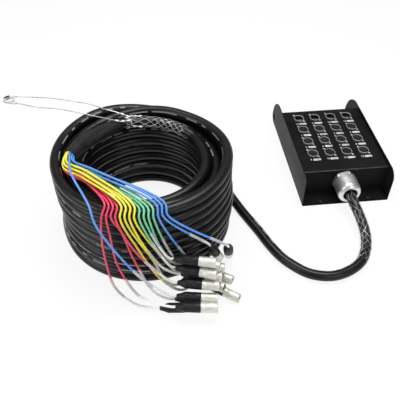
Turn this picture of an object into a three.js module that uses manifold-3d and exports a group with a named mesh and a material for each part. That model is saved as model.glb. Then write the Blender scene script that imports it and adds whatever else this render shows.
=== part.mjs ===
// Stage box snake: a sheet-steel socket box, its multicore cable wound in a coil, and sixteen
// plug leads that fan out of the cable's far end. Millimetres, +Z up, the floor at z = 0.
// The box stands with its sockets up; its gland faces -Y and the cable lies to the -X side.
import * as THREE from "three";
import { mergeVertices } from "three/addons/utils/BufferGeometryUtils.js";
import Module from "manifold-3d";

const wasm = await Module();
wasm.setup();

// Driving dimensions: clearances
const fit_gap = 0.3;
const floor_gap = 0.1;
const cut_overrun = 1;

// Driving dimensions: the box
const box_width = 195;
const sheet = 1.6;
const fold_radius = 3.2;
const panel_depth = 225;
const cheek_past_panel = 8.5;
const front_lip = 34;
const rear_lip = 54;
const cheek_past_lip = 13;
const cheek_front_radius = 22;
const cheek_ear_radius = 62;
const ear_hole_diameter = 18.5;
const ear_hole_height = 20.5;
const ear_hole_from_edge = 18;
const foot_flange = 32;
const foot_hole_spacing = 109;
const foot_hole_from_edge = 5.5;
const screw_hole = 4.2;
const screw_shank = 3.6;
const screw_head = 6.8;
const screw_head_height = 2.2;

// Driving dimensions: the sockets, in four rows of four
const socket_columns = 4;
const socket_rows = 4;
const socket_front_margin = 60.05;
const socket_rear_margin = 32.05;
const socket_bore = 24.4;
const socket_barrel = 23.6;
const socket_barrel_depth = 20;
const socket_flange_width = 26;
const socket_flange_length = 31;
const socket_flange_height = 1.8;
const socket_rim_height = 2.6;
const shell_inner = 19.4;
const core_diameter = 16.6;
const groove_depth = 11;
const core_recess = 0.6;
const pin_diameter = 2.4;
const pin_circle = 7.6;
const pin_length = 9;
const pin_angles = [-150, -90, -30];
const hollow_depth = 12;
const bus_width = 9;
const bus_thickness = 1.6;
const latch_width = 6.4;
const latch_length = 3.8;
const latch_from_centre = 13;
const latch_stands_up = 1.6;
const latch_reach = 5.6;
const latch_slot_depth = 6.9;

// Driving dimensions: the gland
const gland_height = 40;
const gland_headroom = 5.4;
const gland_hex_across = 54;
const gland_hex_length = 9;
const gland_hex_turn = 45;
const gland_nut_length = 50;
const gland_mouth_diameter = 51;
const gland_mouth_bore = 31;
const gland_body_length = 30;
const gland_body_diameter = 38;
const gland_thread_diameter = 34;
const gland_bore = 22.4;
const gland_inner_length = 16;
const locknut_across = 44;
const locknut_thickness = 6;
const seal_length = 8;
const gland_sides = 12;
const dome_start_share = 0.7;
const lip_bevel_share = 1 / 3;

// Driving dimensions: the loom of cores inside the box
const loom_diameter = 18;
const loom_drop = 3;
const loom_branch_width = 8;
const loom_branch_height = 6;
const cable_inside = 12;

// Driving dimensions: the multicore cable and its winding
const cable_diameter = 20.5;
const coil_x = -436;
const coil_y = -146;
const coil_radius = 165;
const column_pitch = 21.2;
const layer_pitch = 21.4;
const inner_layer_pitch = 22.9;
const outer_layers = 9;
const middle_layers = 8;
const inner_layers = 8;
const winding_loops = 24;
const loop_steps = 24;
const loop_sides = 6;
const coil_lean = 5;
const lean_from = 16;
const lean_to = 130;
const lead_in = 60;
const entry_angle = 20;
const climb_from = 60;
const climb_to = 130;
const merge_to = 200;
const top_shift_from = -10;
const descent_from = 280;
const descent_to = 350;
const foot_shift_from = 200;
const last_climb_from = 120;
const last_climb_to = 200;
const end_lead = 8;

// Driving dimensions: grips, breakout boot, pulling wire
const grip_wall = 1.5;
const box_grip_inside = 7;
const wire_diameter = 2.4;
const boot_diameter = 28;
const boot_bore = 22.2;
const boot_skirt = 17;
const eye_outer = 21;
const eye_inner = 15;
const eye_height = 5;

// Driving dimensions: the sixteen leads and plugs
const lead_diameter = 3.8;
const lead_outer_circle = 17;
const lead_inner_circle = 7.4;
const lead_root_length = 4;
const lead_tail = 9;
const plug_diameter = 19;
const plug_length = 76;
const plug_body_length = 45;
const plug_tail_diameter = 9.4;
const plug_tail_length = 15;
const plug_level = 19.3;
const pile_x = -340;
const pile_y = -350;
const rim_from = 246;
const rim_to = 282;
const rim_radius = 166;
const over_rim_radius = 181;
const over_rim_z = 186;
const crossing_lead_rise = 7;

// Colours
const powder_black = 0x17181a;
const nickel = 0xb9b6ae;
const jacket_black = 0x1b1c1e;
const rubber_black = 0x222326;
const lead_colours = { red: 0xd8324a, yellow: 0xe8d636, green: 0x5fb673, blue: 0x3e7fd6 };

const degree = Math.PI / 180;
const full_turn = 360;

// Sizes worked out from the driving ones
const half_width = box_width / 2;
const half_depth = panel_depth / 2;
const lip_front_y = -half_depth - front_lip;
const lip_rear_y = half_depth + rear_lip;
const ear_rear_y = lip_rear_y + cheek_past_lip;
const panel_underside = gland_height + locknut_across / 2 + gland_headroom;
const panel_height = panel_underside + sheet;
const cheek_height = panel_height + cheek_past_panel;
const socket_pitch_x = box_width / (socket_columns + 1);
const socket_margins = socket_front_margin + socket_rear_margin;
const socket_pitch_y = (panel_depth - socket_margins) / (socket_rows - 1);
const socket_grid_y = (socket_front_margin - socket_rear_margin) / 2;
const cable_radius = cable_diameter / 2;
const gland_front_y = -half_depth - gland_nut_length;
const origin_y = (gland_front_y + ear_rear_y) / 2;
const cable_rest = cable_radius + floor_gap;

function vec(x, y, z) {
  return new THREE.Vector3(x, y, z);
}

// A closed geometry as a solid, and back
function solid(geometry) {
  const plain = geometry.index ? geometry.toNonIndexed() : geometry.clone();
  plain.deleteAttribute("normal");
  plain.deleteAttribute("uv");
  const merged = mergeVertices(plain, 1e-4);
  return new wasm.Manifold(
    new wasm.Mesh({
      numProp: 3,
      vertProperties: merged.attributes.position.array,
      triVerts: new Uint32Array(merged.index.array),
    }),
  );
}

function geometryOf(made) {
  const mesh = made.getMesh();
  const geometry = new THREE.BufferGeometry();
  geometry.setAttribute("position", new THREE.BufferAttribute(mesh.vertProperties, 3));
  geometry.setIndex(new THREE.BufferAttribute(mesh.triVerts, 1));
  return geometry;
}

function joined(...geometries) {
  return geometryOf(geometries.map(solid).reduce((whole, next) => whole.add(next)));
}

function cutBy(geometry, tools) {
  return geometryOf(tools.map(solid).reduce((left, tool) => left.subtract(tool), solid(geometry)));
}

function block(x0, x1, y0, y1, z0, z1) {
  const made = new THREE.BoxGeometry(x1 - x0, y1 - y0, z1 - z0);
  return made.translate((x0 + x1) / 2, (y0 + y1) / 2, (z0 + z1) / 2);
}

// A round bar along +Z from z0 to z1, centred on x, y
function bar(x, y, z0, z1, diameter, sides) {
  const made = new THREE.CylinderGeometry(diameter / 2, diameter / 2, z1 - z0, sides);
  return made.rotateX(Math.PI / 2).translate(x, y, (z0 + z1) / 2);
}

// The same bar along -Y, from y0 forward to y1
function forwardBar(x, z, y0, y1, diameter, sides) {
  const made = new THREE.CylinderGeometry(diameter / 2, diameter / 2, y0 - y1, sides);
  return made.translate(x, (y0 + y1) / 2, z);
}

// A turned piece: profile points are [radius, height], from the bottom of the axis to its top
function turned(profile, sides) {
  const points = profile.map(([radius, height]) => new THREE.Vector2(radius, height));
  return new THREE.LatheGeometry(points, sides).rotateX(Math.PI / 2);
}

// A closed ring section, turned: the first point is repeated at the end
function turnedRing(profile, sides) {
  return turned([...profile, profile[0]], sides);
}

// A curve whose steps fall on its own points
class Route extends THREE.CatmullRomCurve3 {
  getPointAt(u, target) {
    return this.getPoint(u, target);
  }
  getTangentAt(u, target) {
    return this.getTangent(u, target);
  }
}

function circlePoints(radius, sides) {
  const corners = [];
  for (let i = 0; i < sides; i++) {
    const angle = (i / sides) * 2 * Math.PI;
    corners.push(new THREE.Vector2(radius * Math.cos(angle), radius * Math.sin(angle)));
  }
  return corners;
}

// A stretch of a list of points whose sections all have a corner at the bottom: a sleeve on a
// stretch of a cable then keeps the same gap all round
class LevelRoute extends THREE.Curve {
  constructor(points, from = 0, to = points.length - 1) {
    super();
    this.points = points;
    this.from = from;
    this.steps = to - from;
  }
  getPointAt(u, target = new THREE.Vector3()) {
    return target.copy(this.points[this.from + Math.round(u * this.steps)]);
  }
  computeFrenetFrames(steps) {
    const frames = { tangents: [], normals: [], binormals: [] };
    for (let i = this.from; i <= this.from + steps; i++) {
      const before = this.points[Math.max(i - 1, 0)];
      const after = this.points[Math.min(i + 1, this.points.length - 1)];
      const along = after.clone().sub(before).normalize();
      const side = vec(along.y, -along.x, 0).normalize();
      frames.tangents.push(along);
      frames.normals.push(along.clone().cross(side));
      frames.binormals.push(side.negate());
    }
    return frames;
  }
}

// A solid tube with its corners on a list of points
function tube(points, outer, sides) {
  const section = new THREE.Shape(circlePoints(outer / 2, sides));
  const steps = points.length - 1;
  const path = new Route(points);
  return new THREE.ExtrudeGeometry(section, { steps, bevelEnabled: false, extrudePath: path });
}

// A near-level tube, or a sleeve where a bore is given, on a stretch of a list of points
function levelTube(points, outer, sides, bore = 0, from = 0, to = points.length - 1) {
  const section = new THREE.Shape(circlePoints(outer / 2, sides));
  if (bore) section.holes.push(new THREE.Path(circlePoints(bore / 2, sides)));
  const path = new LevelRoute(points, from, to);
  const steps = to - from;
  return new THREE.ExtrudeGeometry(section, { steps, bevelEnabled: false, extrudePath: path });
}

const snake = new THREE.Group();

function add(name, geometry, colour, roughness = 0.5, metalness = 0) {
  const material = new THREE.MeshStandardMaterial({ color: colour, roughness, metalness });
  const mesh = new THREE.Mesh(geometry, material);
  mesh.name = name;
  snake.add(mesh);
  return mesh;
}

// Chassis: the base plate with both cheeks folded up from it

function cheekOutline() {
  const outline = new THREE.Shape();
  const quarter = Math.PI / 2;
  const rear_drop = cheek_height - cheek_ear_radius;
  outline.moveTo(lip_front_y, 0);
  outline.lineTo(lip_rear_y, 0);
  outline.lineTo(ear_rear_y, rear_drop);
  outline.absarc(ear_rear_y - cheek_ear_radius, rear_drop, cheek_ear_radius, 0, quarter, false);
  outline.lineTo(lip_front_y + cheek_front_radius, cheek_height);
  outline.absarc(
    lip_front_y + cheek_front_radius,
    cheek_height - cheek_front_radius,
    cheek_front_radius,
    quarter,
    2 * quarter,
    false,
  );
  const hole = new THREE.Path();
  const hole_y = ear_rear_y - ear_hole_from_edge;
  hole.absarc(hole_y, ear_hole_height, ear_hole_diameter / 2, 0, 4 * quarter, true);
  outline.holes.push(hole);
  return outline;
}

// A y-z outline pushed out along +X from x0 to x1
function sidewaysPlate(outline, x0, x1, segments) {
  const plate = new THREE.ExtrudeGeometry(outline, {
    depth: x1 - x0,
    bevelEnabled: false,
    curveSegments: segments,
  });
  const axes = new THREE.Matrix4().makeBasis(vec(0, 1, 0), vec(0, 0, 1), vec(1, 0, 0));
  return plate.applyMatrix4(axes).translate(x0, 0, 0);
}

function footHoles() {
  const places = [];
  for (const side of [-1, 1]) {
    const x = (side * foot_hole_spacing) / 2;
    places.push([x, -half_depth - foot_flange + foot_hole_from_edge]);
    places.push([x, half_depth + foot_flange - foot_hole_from_edge]);
  }
  return places;
}

function chassis() {
  const left = sidewaysPlate(cheekOutline(), -half_width, -half_width + sheet, 6);
  const right = sidewaysPlate(cheekOutline(), half_width - sheet, half_width, 6);
  const base = block(-half_width, half_width, lip_front_y, lip_rear_y, 0, sheet);
  const whole = joined(base, left, right);
  const holes = footHoles().map(([x, y]) =>
    bar(x, y, -cut_overrun, sheet + cut_overrun, screw_hole, 8),
  );
  return cutBy(whole, holes);
}

// Cover: one sheet folded into a hat, with a foot flange in front and behind

function coverProfile() {
  const foot = sheet + fit_gap;
  const outer = [
    [-half_depth - foot_flange, foot],
    [-half_depth - foot_flange, foot + sheet],
    [-half_depth, foot + sheet],
    [-half_depth, panel_height],
    [half_depth, panel_height],
    [half_depth, foot + sheet],
    [half_depth + foot_flange, foot + sheet],
    [half_depth + foot_flange, foot],
    [half_depth - sheet, foot],
    [half_depth - sheet, panel_underside],
    [-half_depth + sheet, panel_underside],
    [-half_depth + sheet, foot],
  ];
  const radii = { 3: fold_radius, 4: fold_radius };
  const shape = new THREE.Shape();
  outer.forEach(([y, z], index) => {
    const radius = radii[index];
    if (!radius) {
      if (index === 0) shape.moveTo(y, z);
      else shape.lineTo(y, z);
      return;
    }
    const front = y < 0;
    const centre_y = front ? y + radius : y - radius;
    const start = front ? Math.PI : Math.PI / 2;
    const end = front ? Math.PI / 2 : 0;
    shape.absarc(centre_y, z - radius, radius, start, end, true);
  });
  return shape;
}

function socketPlaces() {
  const rows = [];
  for (let row = 0; row < socket_rows; row++) {
    const y = socket_grid_y + ((socket_rows - 1) / 2 - row) * socket_pitch_y;
    const places = [];
    for (let column = 0; column < socket_columns; column++) {
      places.push([(column - (socket_columns - 1) / 2) * socket_pitch_x, y]);
    }
    rows.push(places);
  }
  return rows;
}

function cover() {
  const inside = half_width - sheet - fit_gap;
  const sheet_metal = sidewaysPlate(coverProfile(), -inside, inside, 3);
  const low = panel_underside - cut_overrun;
  const high = panel_height + cut_overrun;
  const tools = socketPlaces().flatMap((row) =>
    row.map(([x, y]) => bar(x, y, low, high, socket_bore, 10)),
  );
  for (const [x, y] of socketPlaces().slice(1).flat()) {
    tools.push(latchBox(x, y, fit_gap, low, high));
  }
  for (const [x, y] of footHoles()) {
    tools.push(bar(x, y, sheet, sheet * 2 + fit_gap + cut_overrun, screw_hole, 8));
  }
  const front = -half_depth - cut_overrun;
  const behind = -half_depth + sheet + cut_overrun;
  const gland_hole = gland_thread_diameter + 2 * fit_gap;
  tools.push(forwardBar(0, gland_height, behind, front, gland_hole, gland_sides));
  return cutBy(sheet_metal, tools);
}

function coverScrew([x, y]) {
  const seat = 2 * sheet + 2 * fit_gap;
  const shank_radius = screw_shank / 2;
  const head_radius = screw_head / 2;
  const profile = [
    [0, fit_gap],
    [shank_radius, fit_gap],
    [shank_radius, seat],
    [head_radius, seat],
    [shank_radius, seat + screw_head_height],
    [0, seat + screw_head_height],
  ];
  return turned(profile, 8).translate(x, y, 0);
}

// Sockets: a flanged barrel with a round rim, its face up

const socket_seat = panel_height + fit_gap;
const socket_rim_z = socket_seat + socket_rim_height;
const socket_foot_z = panel_underside - socket_barrel_depth;

// A send socket: an annular groove round a core that stands nearly flush
function sendSocket(x, y) {
  const barrel = socket_barrel / 2;
  const groove_z = socket_rim_z - groove_depth;
  const profile = [
    [0, socket_foot_z],
    [barrel, socket_foot_z],
    [barrel, socket_rim_z],
    [shell_inner / 2, socket_rim_z],
    [shell_inner / 2, groove_z],
    [core_diameter / 2, groove_z],
    [core_diameter / 2, socket_rim_z - core_recess],
    [0, socket_rim_z - core_recess],
  ];
  return placedSocket(x, y, profile, groove_z);
}

// A return socket: a hollow with three pins
function returnSocket(x, y) {
  const barrel = socket_barrel / 2;
  const floor_z = socket_rim_z - hollow_depth;
  const profile = [
    [0, socket_foot_z],
    [barrel, socket_foot_z],
    [barrel, socket_rim_z],
    [shell_inner / 2, socket_rim_z],
    [shell_inner / 2, floor_z],
    [0, floor_z],
  ];
  let made = solid(placedSocket(x, y, profile, floor_z));
  for (const angle of pin_angles) {
    const pin_x = x + (pin_circle / 2) * Math.cos(angle * degree);
    const pin_y = y + (pin_circle / 2) * Math.sin(angle * degree);
    const pin_top = floor_z + pin_length;
    made = made.add(solid(bar(pin_x, pin_y, floor_z - sheet, pin_top, pin_diameter, 6)));
  }
  return geometryOf(made);
}

function placedSocket(x, y, profile, well_z) {
  const half_w = socket_flange_width / 2;
  const half_l = socket_flange_length / 2;
  const top = socket_seat + socket_flange_height;
  const flange = block(-half_w, half_w, -half_l, half_l, socket_seat, top);
  const between = (shell_inner + socket_barrel) / 2;
  const well = bar(0, 0, well_z, socket_rim_z + cut_overrun, between, 10);
  return joined(cutBy(flange, [well]), turned(profile, 10)).translate(x, y, 0);
}

function latchBox(x, y, grow, z0, z1) {
  const half = latch_width / 2 + grow;
  const near = latch_from_centre - latch_length / 2 - grow;
  const far = latch_from_centre + latch_length / 2 + grow;
  return block(x - half, x + half, y + near, y + far, z0, z1);
}

const latch_slot_z = socket_rim_z - latch_slot_depth;

// Four send sockets on the bus strip that joins their grounds
function sendRow(places) {
  const y = places[0][1];
  const end = places[places.length - 1][0];
  const strip = block(
    -end,
    end,
    y - bus_width / 2,
    y + bus_width / 2,
    socket_foot_z - bus_thickness,
    socket_foot_z + bus_thickness,
  );
  const bodies = places.map(([x]) => sendSocket(x, y));
  const slots = places.map(([x]) =>
    latchBox(x, y, fit_gap, latch_slot_z, socket_rim_z + cut_overrun),
  );
  return cutBy(joined(strip, ...bodies), slots);
}

function latchTab([x, y]) {
  const top = socket_seat + socket_flange_height + latch_stands_up;
  return latchBox(x, y, 0, top - latch_reach, top);
}

// Gland: a flanged body through the front panel, a dome nut on it, a seal and a locknut

function alongGland(geometry) {
  return geometry.rotateX(Math.PI / 2).translate(0, -half_depth, gland_height);
}

function glandNut() {
  const mouth = gland_mouth_diameter / 2;
  const hex_radius = gland_hex_across / 2;
  const end = gland_nut_length;
  const start = fit_gap;
  const lip = mouth - gland_mouth_bore / 2;
  const skirt = gland_body_diameter / 2 + fit_gap;
  const shoulder = gland_body_length + seal_length + fit_gap;
  const hexagon = new THREE.CylinderGeometry(hex_radius, hex_radius, gland_hex_length, 6);
  hexagon.rotateX(Math.PI / 2).rotateZ(gland_hex_turn * degree);
  hexagon.translate(0, 0, start + gland_hex_length / 2);
  const dome = turned(
    [
      [0, start],
      [hex_radius, start],
      [hex_radius, gland_hex_length * dome_start_share],
      [mouth, end - lip],
      [mouth, end - lip * lip_bevel_share],
      [mouth - lip * lip_bevel_share, end],
      [0, end],
    ],
    gland_sides,
  );
  const neck = bar(0, 0, gland_hex_length, end, gland_mouth_diameter, gland_sides);
  const outside = solid(hexagon).add(solid(neck)).intersect(solid(dome));
  const skirt_bore = bar(0, 0, -cut_overrun, shoulder, skirt * 2, gland_sides);
  const mouth_bore = bar(0, 0, shoulder - cut_overrun, end + cut_overrun, gland_mouth_bore, gland_sides);
  return alongGland(geometryOf(outside.subtract(solid(skirt_bore)).subtract(solid(mouth_bore))));
}

function glandBody() {
  const thread = gland_thread_diameter / 2;
  const body = gland_body_diameter / 2;
  const bore = gland_bore / 2;
  const profile = [
    [bore, -gland_inner_length],
    [thread, -gland_inner_length],
    [thread, fit_gap],
    [body, fit_gap],
    [body, gland_body_length],
    [bore, gland_body_length],
  ];
  return alongGland(turnedRing(profile, gland_sides));
}

function glandSeal() {
  const inner = (cable_radius + fit_gap) / Math.cos(Math.PI / gland_sides);
  const outer = gland_body_diameter / 2;
  const start = gland_body_length + fit_gap;
  const end = gland_body_length + seal_length;
  const profile = [
    [inner, start],
    [outer, start],
    [outer, end],
    [inner, end],
  ];
  return alongGland(turnedRing(profile, gland_sides));
}

function glandLocknut() {
  const across = locknut_across / 2;
  const nut = new THREE.CylinderGeometry(across, across, locknut_thickness, 6);
  const z = -sheet - fit_gap - locknut_thickness / 2;
  nut.rotateX(Math.PI / 2).translate(0, 0, z);
  const hole = bar(0, 0, -gland_inner_length, 0, gland_thread_diameter + 2 * fit_gap, gland_sides);
  return alongGland(cutBy(nut, [hole]));
}

// Loom: the cores inside the box, from the gland to each row of sockets
function wiringLoom() {
  const rows = socketPlaces();
  const run_height = gland_height - loom_drop - loom_branch_height;
  const start_y = -half_depth + cable_inside + fit_gap;
  const last_y = rows[0][0][1];
  const top = socket_foot_z - bus_thickness - fit_gap;
  const trunk = tube(
    [
      vec(0, start_y, gland_height),
      vec(0, start_y + loom_diameter, gland_height),
      vec(0, start_y + loom_diameter * 2, run_height),
      vec(0, 0, run_height),
      vec(0, last_y, run_height),
    ],
    loom_diameter,
    8,
  );
  const half = loom_branch_width / 2;
  const branches = rows.map((places) => {
    const y = places[0][1];
    const end = places[places.length - 1][0];
    return block(-end, end, y - half, y + half, top - loom_branch_height, top);
  });
  const risers = rows.map((places) => {
    const y = places[0][1];
    return block(-half, half, y - half, y + half, run_height, top - sheet);
  });
  return joined(trunk, ...branches, ...risers);
}

// The winding: one unbroken cable, up the outer column, down the middle one and up the inner one

function ease(from, to, value) {
  const t = Math.min(Math.max((value - from) / (to - from), 0), 1);
  return t * t * (3 - 2 * t);
}

// How many climbs are done at a turn angle, when one starts each loop from first to last
function climbs(angle, from, to, first, count) {
  let done = 0;
  for (let i = 0; i < count; i++) {
    const start = (first + i) * full_turn;
    done += ease(start + from, start + to, angle);
  }
  return done;
}

const top_turn = outer_layers;
const foot_turn = outer_layers + middle_layers - 1;

function windingRadius(angle) {
  const merged = climbs(angle, climb_to, merge_to, 0, 1);
  const to_middle = climbs(angle, top_shift_from, climb_from, top_turn, 1);
  const to_inner = climbs(angle, foot_shift_from, descent_from, foot_turn, 1);
  return coil_radius + column_pitch * (1 - merged - to_middle - to_inner);
}

function windingHeight(angle) {
  const up = climbs(angle, climb_from, climb_to, 1, outer_layers - 1);
  const step_down = climbs(angle, climb_from, climb_to, top_turn, 1);
  const down = climbs(angle, descent_from, descent_to, top_turn, middle_layers - 1);
  const last_up = climbs(angle, last_climb_from, last_climb_to, foot_turn + 1, inner_layers - 1);
  const outer_top = layer_pitch * (outer_layers - 1);
  const middle_top = inner_layer_pitch * (middle_layers - 1);
  const dropped = step_down * (outer_top - middle_top) + down * inner_layer_pitch;
  return cable_rest + (up + last_up) * layer_pitch - dropped;
}

// Loops a little above the floor lie a little towards +X of those above and below
function windingLean(height) {
  const t = Math.min(Math.max((height - lean_from) / (lean_to - lean_from), 0), 1);
  return (coil_lean * (1 - Math.cos(2 * Math.PI * t))) / 2;
}

function windingPoint(angle) {
  const radius = windingRadius(angle);
  const z = windingHeight(angle);
  const x = coil_x + windingLean(z) + radius * Math.cos(angle * degree);
  return vec(x, coil_y + radius * Math.sin(angle * degree), z);
}

function headingAt(angle) {
  return vec(-Math.sin(angle * degree), Math.cos(angle * degree), 0);
}

const winding_end_angle = winding_loops * full_turn + entry_angle;
const winding_start = windingPoint(entry_angle).addScaledVector(headingAt(entry_angle), -lead_in);
const winding_end = windingPoint(winding_end_angle).addScaledVector(
  headingAt(winding_end_angle),
  cable_diameter,
);

function windingPoints() {
  const heading = headingAt(entry_angle);
  const points = [winding_start, winding_start.clone().addScaledVector(heading, cable_diameter)];
  for (let i = 0; i <= winding_loops * loop_steps; i++) {
    points.push(windingPoint(entry_angle + (i / loop_steps) * full_turn));
  }
  points.push(winding_end);
  return points;
}

// The least gap of a tube to itself, between points at least half a loop apart
function leastGap(points, radius) {
  let least = Infinity;
  const apart = loop_steps / 2;
  for (let i = 0; i < points.length; i++) {
    for (let j = i + apart; j < points.length; j++) {
      least = Math.min(least, points[i].distanceTo(points[j]) - 2 * radius);
    }
  }
  return least;
}

// The free cable from the gland to the winding, and the cable's end on top of it

const run_route = [
  [0, -168, 39.8],
  [0, -181, 38.5],
  [3, -201, 34],
  [6, -225, 27],
  [7, -248, 20.5],
  [4, -270, 15],
  [-4, -293, 12.6],
  [-23, -322, 12.25],
  [-51, -340, 10.4],
  [-83, -349, 10.35],
  [-109, -347, 10.35],
  [-134, -337, 10.35],
  [-157, -317, 10.35],
  [-176, -293, 10.35],
  [-193, -259, 10.35],
  [-209, -217, 10.35],
  [-222, -186, 10.35],
];

function runPoints() {
  const heading = headingAt(entry_angle);
  return [
    vec(0, -half_depth + cable_inside, gland_height),
    vec(0, gland_front_y + box_grip_inside, gland_height),
    ...run_route.map(([x, y, z]) => vec(x, y, z)),
    winding_start.clone().addScaledVector(heading, -cable_diameter - fit_gap),
    winding_start.clone().addScaledVector(heading, -fit_gap),
  ];
}

// Angle round the coil, radius and height of the cable's end
const end_route = [
  [40, 124, 162.6],
  [55, 121, 164.4],
  [70, 119.3, 166.8],
  [85, 118.5, 168.8],
  [100, 118.5, 170.2],
  [115, 118.5, 172.4],
  [130, 116, 177],
  [145, 113, 183],
  [159, 114, 188],
  [170, 120, 191.8],
  [178.5, 127, 193.5],
];

function aroundCoil([angle, radius, z]) {
  const x = coil_x + radius * Math.cos(angle * degree);
  return vec(x, coil_y + radius * Math.sin(angle * degree), z);
}

const end_points = [
  winding_end.clone().addScaledVector(headingAt(winding_end_angle), fit_gap),
  winding_end.clone().addScaledVector(headingAt(winding_end_angle), end_lead),
  ...end_route.map(aroundCoil),
];
const cable_tip = end_points[end_points.length - 1];
const mouth_heading = cable_tip.clone().sub(end_points[end_points.length - 2]).normalize();
const mouth = cable_tip.clone().addScaledVector(mouth_heading, boot_skirt);

const grip_bore = cable_diameter + 2 * fit_gap;
const grip_outer = grip_bore + 2 * grip_wall;

// The wire-mesh strain relief on the cable at the box, and the pulling grip on the cable's end
const box_grip_spans = [1, 9];
const pull_grip_spans = [2, 6];

function meshGrip(points, [from, to]) {
  return levelTube(points, grip_outer, 10, grip_bore, from, to);
}

// The heat-shrunk boot: a sleeve over the cable's end and the roots of the leads
const boot_from_span = 7;

function breakoutBoot() {
  const points = [...end_points, mouth];
  return levelTube(points, boot_diameter, 10, boot_bore, boot_from_span);
}

// The pulling wire: out from the grip, round the eye and back
const wire_out_route = [
  [-458.2, -26, 181.6],
  [-470, -21.5, 184.5],
  [-481, -18.5, 188],
  [-504, -11.5, 193],
  [-531, 1, 196.5],
  [-560, 12.5, 198.5],
  [-589, 22, 200],
  [-633, 34.5, 200],
  [-694, 46, 200],
];
const wire_back_route = [
  [-695, 22, 200],
  [-651, 4, 200],
  [-590, -13.5, 199.5],
  [-537, -33, 196.5],
  [-507, -41.5, 193],
  [-493, -45, 190.5],
  [-478, -45.5, 186],
  [-456.2, -36.4, 180],
];
const eye_place = [-706, 34, 200];
const eye_bend_angles = [90, 135, 180, 225, 270];

function pullWire() {
  const out = wire_out_route.map(([x, y, z]) => vec(x, y, z));
  const back = wire_back_route.map(([x, y, z]) => vec(x, y, z));
  const [x, y, z] = eye_place;
  const bend = (eye_outer + wire_diameter) / 2 + fit_gap;
  const round = eye_bend_angles.map((angle) =>
    vec(x + bend * Math.cos(angle * degree), y + bend * Math.sin(angle * degree), z),
  );
  return tube([...out, ...round, ...back], wire_diameter, 8);
}

// The thimble that keeps the eye open
function pullEye() {
  const [x, y, z] = eye_place;
  const half = eye_height / 2;
  const outer = eye_outer / 2;
  const inner = eye_inner / 2;
  const waist = outer - fit_gap * 2;
  const profile = [
    [inner, -half],
    [outer, -half],
    [waist, 0],
    [outer, half],
    [inner, half],
  ];
  return turnedRing(profile, 8).translate(x, y, z);
}

// Plugs: where each rear end lies, in plug diameters from a point in the pile, then its level,
// its heading round +Z and its nose-down pitch in degrees
const plug_place_shares = {
  red_1: [-4.4, -1.94, 0, -5, 0],
  red_2: [-2.91, -2.68, 1, -8, 0],
  red_3: [-2.88, -1.02, 0, -4, 0],
  red_4: [-2.54, -0.64, 2, -12, 0],
  yellow_1: [0.17, 0.72, 0, -37, 0],
  yellow_2: [-2.24, 0.79, 0, 25, 0],
  yellow_3: [-2.12, 0.41, 2, -12, 0],
  yellow_4: [-1.4, 1.18, 1, -33, 0],
  green_1: [-2.6, 0.42, 3.03, -20, 0],
  green_2: [-2.72, 0.65, 4.05, -14, 0],
  green_3: [-1.7, 1.46, 2, -12, 0],
  green_4: [-2.12, 1.42, 3.03, -20, 0],
  blue_1: [-2.73, -1.47, 1, -10, 0],
  blue_2: [-0.46, 2.0, 1, -33, 0],
  blue_3: [0.9, 2.16, 3.75, 48, 63],
  blue_4: [2.68, 2.0, 3.54, 76, 60],
};

function plugPlace(name) {
  const [along, across, level, heading, pitch] = plug_place_shares[name];
  const rear = vec(
    pile_x + along * plug_diameter,
    pile_y + across * plug_diameter,
    plug_diameter / 2 + floor_gap + level * plug_level,
  );
  const flat = Math.cos(pitch * degree);
  const ahead = vec(
    flat * Math.cos(heading * degree),
    flat * Math.sin(heading * degree),
    -Math.sin(pitch * degree),
  );
  return { rear, ahead };
}

function plug(name) {
  const { rear, ahead } = plugPlace(name);
  const radius = plug_diameter / 2;
  const tail = plug_tail_diameter / 2;
  const profile = [
    [0, 0],
    [tail, 0],
    [radius, plug_tail_length],
    [radius, plug_body_length],
    [radius - fit_gap, plug_length],
    [0, plug_length],
  ];
  const made = turned(profile, 10);
  const turn = new THREE.Quaternion().setFromUnitVectors(vec(0, 0, 1), ahead);
  return made.applyQuaternion(turn).translate(rear.x, rear.y, rear.z);
}

// Leads: the points each one has of its own, from the coil's rim to its plug
const lead_routes = {
  red_1: [[-513, -322, 165], [-514, -331, 90], [-502, -347, 25], [-468, -372, 7]],
  red_2: [[-500, -324, 150], [-492, -335, 70], [-458, -374, 32]],
  red_3: [[-480, -324, 155], [-464, -333, 90], [-432, -358, 20]],
  red_4: [[-467, -338, 135], [-440, -350, 95]],
  yellow_1: [[-455, -334, 120], [-416, -347, 40], [-380, -351, 10]],
  yellow_2: [[-428, -335, 80], [-408, -338, 25]],
  yellow_3: [[-415, -338, 68]],
  yellow_4: [[-400, -329, 58], [-388, -330, 40]],
  green_1: [],
  green_2: [],
  green_3: [[-402, -323, 70]],
  green_4: [],
  blue_1: [[-563, -224, 213], [-530, -300, 200], [-520, -328, 178], [-452, -364, 72]],
  blue_2: [[-372, -313, 68]],
  blue_3: [],
  blue_4: [],
};

// The bundle's own points between the boot's mouth and the rim, shared by all the leads
const bundle_route = [
  [-569, -190, 197],
  [-529, -229, 202.5],
];
const bundle_spread_shares = [1.4, 1.6];
const rim_z = { red: 196.5, yellow: 200.5, green: 196.5, blue: 200.5 };
const crossing_lead = "blue_1";
const colour_order = ["red", "yellow", "green", "blue"];
const leads_per_colour = 4;
const rim_leads = colour_order.length * leads_per_colour - 1;

// Each colour holds a quarter of the bundle in the boot's mouth: one lead on the inner circle and
// three on the outer one, at these angles from the middle of the quarter
const quarter_middle = { red: 225, yellow: 135, green: 315, blue: 45 };
const inner = "inner";
const lead_slots = {
  red: [-30, 0, inner, 30],
  yellow: [30, 0, inner, -30],
  green: [-30, inner, 0, 30],
  blue: [30, inner, 0, -30],
};

function sideOf(heading) {
  return vec(-heading.y, heading.x, 0).normalize();
}

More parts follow.
